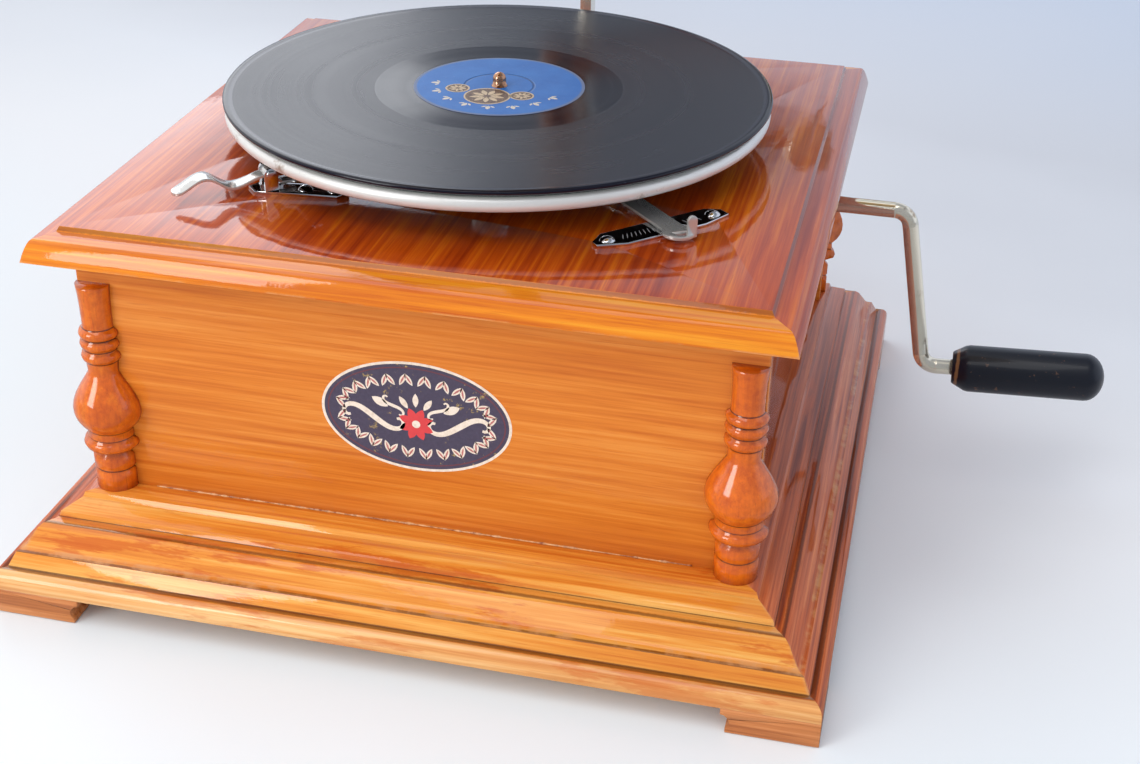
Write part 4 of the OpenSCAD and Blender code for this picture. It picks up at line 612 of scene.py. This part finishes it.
def make_world():
    """Pale room light: bright in front and on the left, low behind, and dim overhead."""
    world = bpy.data.worlds.new("room")
    bpy.context.scene.world = world
    world.use_nodes = True
    tree = world.node_tree
    where = tree.nodes.new("ShaderNodeTexCoord").outputs["Generated"]

    def share(direction, start, stop):
        """Smooth share from 0 to 1 of how far a ray leans towards a direction."""
        side = tree.nodes.new("ShaderNodeVectorMath")
        side.operation = "DOT_PRODUCT"
        side.inputs[1].default_value = direction
        tree.links.new(where, side.inputs[0])
        step = tree.nodes.new("ShaderNodeMapRange")
        step.interpolation_type = "SMOOTHSTEP"
        step.inputs["From Min"].default_value = start
        step.inputs["From Max"].default_value = stop
        tree.links.new(side.outputs["Value"], step.inputs["Value"])
        return step.outputs[0]

    def blend(factor, a, b):
        node = tree.nodes.new("ShaderNodeMix")
        node.data_type = "RGBA"
        node.clamp_result = False
        tree.links.new(factor, node.inputs[0])
        for socket, value in ((node.inputs[6], a), (node.inputs[7], b)):
            if isinstance(value, tuple):
                socket.default_value = value + (1,)
            else:
                tree.links.new(value, socket)
        return node.outputs[2]

    back = blend(share((0, 0, 1), 0.60, 0.80), ROOM_LOW, ROOM_DIM)
    back = blend(share(DARK_SPOT, 0.988, 0.998), back, ROOM_DIM)
    room = blend(share(BRIGHT_SIDE, -0.45, 0.35), back, ROOM_BRIGHT)
    mirrored = tree.nodes.new("ShaderNodeMath")
    mirrored.operation = "MULTIPLY"
    tree.links.new(tree.nodes.new("ShaderNodeLightPath").outputs["Is Glossy Ray"], mirrored.inputs[0])
    tree.links.new(share((0, -1, 0), 0.1, 0.5), mirrored.inputs[1])
    room = blend(mirrored.outputs[0], room, ROOM_DIM)
    tree.links.new(room, tree.nodes["Background"].inputs["Color"])
    tree.nodes["Background"].inputs["Strength"].default_value = 1.0


def make_floor():
    """Pale floor painted with shade: darker towards the back-right, dimmer left of the middle, and
    with its mirror image in front dimmed.
    """
    mesh = bpy.data.meshes.new("floor")
    shape = bmesh.new()
    bmesh.ops.create_grid(shape, x_segments=8, y_segments=8, size=FLOOR_HALF)
    shape.to_mesh(mesh)
    shape.free()
    floor = bpy.data.objects.new("floor", mesh)
    floor.location = (0, 0, FLOOR_Z)
    bpy.context.scene.collection.objects.link(floor)
    paint = Paint("floor_paper")
    spot = paint.spot()
    cloud = paint.noise(paint.place(), 3, 3, 0.5)
    far = paint.math("ADD", spot["Y"], paint.math("MULTIPLY", spot["X"], 0.45))
    far = paint.math("ADD", far, paint.math("MULTIPLY", cloud, 0.25))
    # Tones darken towards the back and right: painted shade.
    tone = paint.ramp(paint.math("MULTIPLY", far, 0.5), *FLOOR_SHADE_TONES)
    # Left of the middle the floor is dimmed as well: painted shade.
    left = paint.ramp(paint.math("ADD", spot["X"], 1.0), (0.3, 0.76), (1.0, 1.0))
    tone = paint.mix(1.0, tone, left, "MULTIPLY")
    # Seen in reflections the front of the floor turns dark: a painted darkening of its reflection.
    front = paint.ramp(paint.math("SUBTRACT", 0.5, spot["Y"]), (0.35, 0.15), (0.75, 0.75))
    mirrored = paint.math("MULTIPLY", paint.add("LightPath").outputs["Is Glossy Ray"], front)
    paint.set(Base_Color=paint.mix(mirrored, tone, 0.0), Roughness=0.7)
    mesh.materials.append(paint.material)


def make_studio():
    """Camera, room, floor and three soft lamps."""
    bpy.context.scene.view_settings.view_transform = "Standard"
    make_camera()
    make_world()
    make_floor()
    lamp("key", (-1.9, -2.4, 1.3), (1.2, 1.5), 34, (1.0, 0.98, 0.95))
    lamp("window", (-1.60, 2.24, 1.62), (1.76, 1.7), 16, (0.97, 0.98, 1.0))
    lamp("top", (-0.4, -1.0, 2.6), (2.0, 2.0), 20)


# Small pieces

def piece(name, shape, material, body):
    """Turns a bmesh into a named piece that rides on a body."""
    mesh = bpy.data.meshes.new(name)
    bmesh.ops.recalc_face_normals(shape, faces=shape.faces)
    shape.to_mesh(mesh)
    shape.free()
    mesh.materials.append(material)
    obj = bpy.data.objects.new(name, mesh)
    bpy.context.scene.collection.objects.link(obj)
    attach(obj, body)
    return obj


def prism(shape, points, thick):
    """Adds a flat slab: its outline as 3-D points on its back face, and its thickness vector."""
    back = [shape.verts.new(p) for p in points]
    front = [shape.verts.new(Vector(p) + Vector(thick)) for p in points]
    shape.faces.new(back)
    shape.faces.new(list(reversed(front)))
    count = len(points)
    for i in range(count):
        j = (i + 1) % count
        shape.faces.new((back[j], back[i], front[i], front[j]))


def ring_lathe(shape, profile, steps, centre=(0, 0, 0)):
    """Turns a closed profile of (radius, height) once round a vertical axis."""
    centre = Vector(centre)
    rows = []
    for i in range(steps):
        a = 2 * math.pi * i / steps
        rows.append([shape.verts.new(centre + Vector((r * math.cos(a), r * math.sin(a), z)))
                     for r, z in profile])
    count = len(profile)
    for i in range(steps):
        one, two = rows[i], rows[(i + 1) % steps]
        for k in range(count):
            m = (k + 1) % count
            shape.faces.new((one[k], two[k], two[m], one[m]))


def bent(place, points, z):
    """Flat points lifted to a height over the face that `place` describes."""
    return [place(u, v, z) for u, v in points]


def slab(shape, place, points, z, thick=PRINT_THICK):
    """Adds a thin flat piece with an outline on the face that `place` describes."""
    prism(shape, bent(place, points, z), place(0, 0, thick) - place(0, 0, 0))


def band(shape, place, outer, inner, z, thick=PRINT_THICK):
    """Adds a thin flat ring between two outlines with the same number of points."""
    lift = place(0, 0, thick) - place(0, 0, 0)
    rows = []
    for line in (outer, inner):
        low_row = [shape.verts.new(p) for p in bent(place, line, z)]
        rows.append((low_row, [shape.verts.new(v.co + lift) for v in low_row]))
    (out_low, out_top), (in_low, in_top) = rows
    count = len(outer)
    for a in range(count):
        b = (a + 1) % count
        shape.faces.new((out_low[a], out_low[b], out_top[b], out_top[a]))
        shape.faces.new((in_low[b], in_low[a], in_top[a], in_top[b]))
        shape.faces.new((out_top[a], out_top[b], in_top[b], in_top[a]))
        shape.faces.new((out_low[b], out_low[a], in_low[a], in_low[b]))


def around(radius, turn, u=0.0, v=0.0):
    """Point on a circle round (u, v)."""
    return u + radius * math.cos(turn), v + radius * math.sin(turn)


def oval(a, b, count=96, u=0.0, v=0.0):
    """Outline of an oval round (u, v)."""
    return [(u + a * math.cos(2 * math.pi * k / count), v + b * math.sin(2 * math.pi * k / count))
            for k in range(count)]


def leaf(u, v, heading, length, width, count=7):
    """Outline of a pointed leaf with its middle at (u, v)."""
    side = [((k / count - 0.5) * length, 0.5 * width * math.sin(math.pi * k / count) ** 0.8)
            for k in range(count + 1)]
    outline = side + [(x, -y) for x, y in reversed(side[1:-1])]
    c, n = math.cos(heading), math.sin(heading)
    return [(u + x * c - y * n, v + x * n + y * c) for x, y in outline]


def scroll(u, v, heading, length, curl, width, mirror=1, steps=40):
    """Outline of an S-shaped ribbon that curls up at both ends."""
    path, x, y = [], 0.0, 0.0
    for k in range(steps + 1):
        path.append((x, y))
        share = abs(2 * (k + 0.5) / steps - 1)
        turn = curl * share ** 3
        x += length / steps * math.cos(turn)
        y += length / steps * math.sin(turn)
    mid_x, mid_y = path[steps // 2]
    c, n = math.cos(heading), math.sin(heading)
    left, right = [], []
    for k, (x, y) in enumerate(path):
        ax, ay = path[max(k - 1, 0)]
        bx, by = path[min(k + 1, steps)]
        size = math.hypot(bx - ax, by - ay)
        half = 0.5 * width * (0.45 + 0.55 * math.sin(math.pi * k / steps))
        for row, sign in ((left, 1), (right, -1)):
            px = x - sign * half * (by - ay) / size - mid_x
            py = y + sign * half * (bx - ax) / size - mid_y
            row.append((u + mirror * (px * c - py * n), v + px * n + py * c))
    return left + right[::-1]


def make_label():
    """Paper label of the record, faded and speckled, with a pressed ring and a worn edge."""
    paint = Paint("label_paper")
    share = paint.math("DIVIDE", paint.radius(), LABEL_R)
    faded = paint.noise(paint.place(), 60, 5, 0.65)
    speck = paint.ramp(paint.noise(paint.place(), 900, 3, 0.7), (0.62, 0.0), (0.72, 1.0))
    tone = paint.mix(faded, (14, 88, 172), (62, 132, 208))
    tone = paint.mix(paint.math("MULTIPLY", speck, 0.25), tone, (150, 172, 204))
    edge = paint.ramp(share, (0.955, 0.0), (0.975, 1.0))
    tone = paint.mix(paint.math("MULTIPLY", edge, 0.6), tone, (132, 128, 128))
    pressed = paint.ramp(share, (0.385, 0.0), (0.40, 1.0), (0.41, 1.0), (0.425, 0.0))
    tone = paint.mix(paint.math("MULTIPLY", pressed, 0.5), tone, (44, 66, 106))
    skin = paint.bump(paint.math("SUBTRACT", 1.0, pressed), 0.9, 0.0004)
    paint.set(Base_Color=tone, Roughness=0.42, Specular_IOR_Level=0.3,
              Normal=paint.bump(faded, 0.2, 0.0003, skin))
    shape = bmesh.new()
    top = RECORD_TOP - LABEL_SUNK
    bottom = top - LABEL_THICK
    ring_lathe(shape, [(LABEL_HOLE, bottom), (LABEL_R, bottom), (LABEL_R, top - 0.03 * MM),
                       (LABEL_R - 0.1 * MM, top), (LABEL_HOLE, top)], 128)
    piece("record_label", shape, paint.material, "turntable")


def on_label(u, v, z):
    """Place on the label, in millimetres from its middle and up from its face."""
    return Vector((u * MM, v * MM, RECORD_TOP - LABEL_SUNK + z * MM))


def make_seals():
    """Three round medallions on the label, each with a rim and a star of nine leaves."""
    brown = plain("label_brown", (96, 74, 66), 0.5, spot=(170, 142, 112), scale=1100, share=0.7)
    gold = plain("label_gold", (214, 190, 156), 0.45, spot=(120, 96, 76), scale=1300, share=0.6)
    seals, rims = bmesh.new(), bmesh.new()
    for u, v, r in SEALS:
        edge = oval(r, r, 48, u, v)
        slab(seals, on_label, edge, FIRST_LAYER)
        band(rims, on_label, edge, oval(r - 0.8, r - 0.8, 48, u, v), NEXT_LAYER)
        for k in range(9):
            turn = 2 * math.pi * k / 9
            star = leaf(*around(0.45 * r, turn, u, v), turn, 0.62 * r, 0.24 * r)
            slab(rims, on_label, star, NEXT_LAYER)
    piece("label_seals", seals, brown, "turntable")
    piece("label_seal_rims", rims, gold, "turntable")


def make_sprays():
    """Eight sprays of three leaves along the front of the label."""
    cream = plain("label_cream", (226, 214, 196), 0.5, spot=(170, 160, 150), scale=900, share=0.6)
    marks = bmesh.new()
    for k in range(8):
        turn = math.radians(-172 + 21.8 * k)
        slab(marks, on_label, leaf(*around(SPRAY_R, turn), turn, 4.4, 2.2), FIRST_LAYER)
        for side in (-1, 1):
            foot = around(SPRAY_R - 1, turn + side * 0.07)
            slab(marks, on_label, leaf(*foot, turn + side * 0.9, 2.8, 1.1), FIRST_LAYER)
    piece("label_leaves", marks, cream, "turntable")


def on_badge(u, v, z):
    """Place on the badge, in millimetres from its middle and out from the front panel."""
    return Vector(((BADGE_AT[0] + u) * MM, FACE_Y - z * MM, (BADGE_AT[1] + v) * MM))


def badge_paint():
    """Dark lacquered print, worn through to gold in small patches."""
    paint = Paint("badge_field")
    where = paint.place()
    worn = paint.ramp(paint.noise(where, 150, 5, 0.72), (0.60, 0.0), (0.66, 1.0))
    mottle = paint.noise(where, 700, 3, 0.6)
    field = paint.mix(mottle, (62, 52, 72), (84, 74, 96))
    paint.set(Base_Color=paint.mix(worn, field, (176, 146, 84)), Roughness=0.35, Coat_Weight=0.7,
              Coat_Roughness=0.06, Normal=paint.bump(mottle, 0.15, 0.0002))
    return paint.material


def badge_ovals(field, rim, line):
    """Dark field of the badge, its pale rim and the thin line inside the rim."""
    slab(field, on_badge, oval(BADGE_A - 0.4, BADGE_B - 0.4), FIRST_LAYER, 0.05)
    band(rim, on_badge, oval(BADGE_A, BADGE_B), oval(BADGE_A - 1.2, BADGE_B - 1.2), FIRST_LAYER,
         0.07)
    band(line, on_badge, oval(BADGE_A - 2.6, BADGE_B - 2.6), oval(BADGE_A - 3.2, BADGE_B - 3.2),
         BADGE_LAYER)


def garlands(leaves, veins):
    """Twelve pairs of leaves along the top of the badge and twelve along its foot."""
    for first, last, count in ((168, 12, 12), (-166, -14, 12)):
        for k in range(count):
            turn = math.radians(first + (last - first) * k / (count - 1))
            u, v = GARLAND_A * math.cos(turn), GARLAND_B * math.sin(turn)
            out = math.atan2(v * (GARLAND_A / GARLAND_B) ** 2, u)
            for side in (-1, 1):
                foot = (u + side * GARLAND_HALF * math.sin(out),
                        v - side * GARLAND_HALF * math.cos(out))
                lean = out + side * 0.5
                slab(leaves, on_badge, leaf(*foot, lean, 6.4, 2.3), BADGE_LAYER)
                slab(veins, on_badge, leaf(*foot, lean, 4.6, 0.8), BADGE_LAYER + 0.02, 0.01)


def scrolls(curls):
    """Two mirrored pairs of scrolls with a leaf each, beside the rosette."""
    for side in (-1, 1):
        for ribbon in (scroll(side * 18.6, -2.2, math.radians(-36), 40, math.radians(250), 2.7,
                              mirror=-side),
                       scroll(side * 9.8, 4.2, math.radians(18), 17, math.radians(240), 1.5,
                              mirror=side),
                       leaf(side * 15.6, 5.4, math.radians(90 - side * 62), 8.0, 3.8)):
            slab(curls, on_badge, ribbon, BADGE_LAYER)


def rosette(petals, eye):
    """Eight petals round an eye, with a crest of three leaves over them."""
    for k in range(8):
        turn = math.radians(45 * k + 22.5)
        petal = leaf(*around(ROSETTE_R, turn, 0, ROSETTE_V), turn, 7.0, 3.8)
        slab(petals, on_badge, petal, BADGE_LAYER + 0.004 * (k % 2))
    slab(eye, on_badge, oval(1.8, 1.8, 32, 0, ROSETTE_V), BADGE_LAYER + 0.025)
    for k in (-1, 0, 1):
        turn = math.radians(90 - 34 * k)
        slab(eye, on_badge, leaf(*around(9.4, turn, 0, ROSETTE_V + 2), turn, 6.6, 2.6), BADGE_LAYER)


def make_badge():
    """Oval printed badge on the front: dark field, pale rim, garlands, scrolls and a rosette."""
    shapes = {part: bmesh.new() for part in ("field", "rim", "line", "leaves", "veins", "scrolls",
                                             "rosette", "eye")}
    badge_ovals(shapes["field"], shapes["rim"], shapes["line"])
    garlands(shapes["leaves"], shapes["veins"])
    scrolls(shapes["scrolls"])
    rosette(shapes["rosette"], shapes["eye"])
    cream = plain("badge_cream", (240, 222, 204), 0.35, spot=(206, 178, 150), scale=420, share=0.6,
                  Coat_Weight=0.7)
    pink = plain("badge_pink", (190, 110, 104), 0.35, spot=(140, 80, 78), scale=420,
                 Coat_Weight=0.7)
    red = plain("badge_red", (222, 62, 64), 0.35, spot=(190, 50, 52), scale=300, Coat_Weight=0.7)
    plum = plain("badge_line", (112, 58, 66), 0.35, spot=(84, 60, 76), scale=420, Coat_Weight=0.7)
    inks = {"field": badge_paint(), "rim": cream, "line": plum, "leaves": cream, "veins": pink,
            "scrolls": cream, "rosette": red, "eye": cream}
    for part, shape in shapes.items():
        piece("badge_" + part, shape, inks[part], "case")


def make_scale_marks():
    """Fine strokes engraved on the regulator's scale plate, fanned round the lever's pivot."""
    def on_scale(u, v, z):
        return Vector((u * MM, v * MM, DECK_Z + (SCALE_TOP + z) * MM))

    shape = bmesh.new()
    c = math.sqrt(0.5)
    for along, length in ([(-19 + 2.1 * k, 5.0) for k in range(9)]
                          + [(12 + 2.1 * k, 4.0) for k in range(4)]):
        u, v = SCALE_AT[0] + (along + 0.6) * c, SCALE_AT[1] + (along - 0.6) * c
        heading = math.atan2(v - POINTER_AT[1], u - POINTER_AT[0])
        slab(shape, on_scale, leaf(u, v, heading, length, 0.42), 0.0, 0.03)
    piece("scale_marks", shape, plain("scale_fill", (150, 150, 152), 0.5), "case")


def make_glue_line():
    """Uneven bead of glue and varnish where the front panel stands on the ledge."""
    paint = Paint("glue_bead")
    cloud = paint.noise(paint.place(), 260, 4, 0.6)
    paint.set(Base_Color=paint.ramp(cloud, (0.4, (224, 168, 110)), (0.62, (150, 74, 26))),
              Roughness=0.3, Coat_Weight=0.8, Coat_Roughness=0.08,
              Normal=paint.bump(cloud, 0.3, 0.0003))
    draw = random.Random(7)
    shape = bmesh.new()
    angles = [math.pi * 0.5 * m / (GLUE_SIDES - 1) for m in range(GLUE_SIDES)]
    rows = []
    for k in range(GLUE_STEPS + 1):
        x = -GLUE_REACH + 2 * GLUE_REACH * k / GLUE_STEPS
        r = (0.35 + 0.55 * draw.random() ** 2) * MM
        arc = [(x, FACE_Y + 0.1 * MM - r * math.cos(t), LEDGE_Z + 0.05 * MM + r * math.sin(t))
               for t in angles]
        corner = (x, FACE_Y + 0.15 * MM, LEDGE_Z - 0.02 * MM)
        rows.append([shape.verts.new(p) for p in arc + [corner]])
    for one, two in zip(rows, rows[1:]):
        for a in range(len(one)):
            b = (a + 1) % len(one)
            shape.faces.new((one[a], one[b], two[b], two[a]))
    shape.faces.new(rows[0])
    shape.faces.new(rows[-1])
    bead = piece("glue_bead", shape, paint.material, "case")
    shade(bead, 60)


dress_case()
dress_metal()
dress_turntable()
make_studio()
make_label()
make_seals()
make_sprays()
make_badge()
make_scale_marks()
make_glue_line()
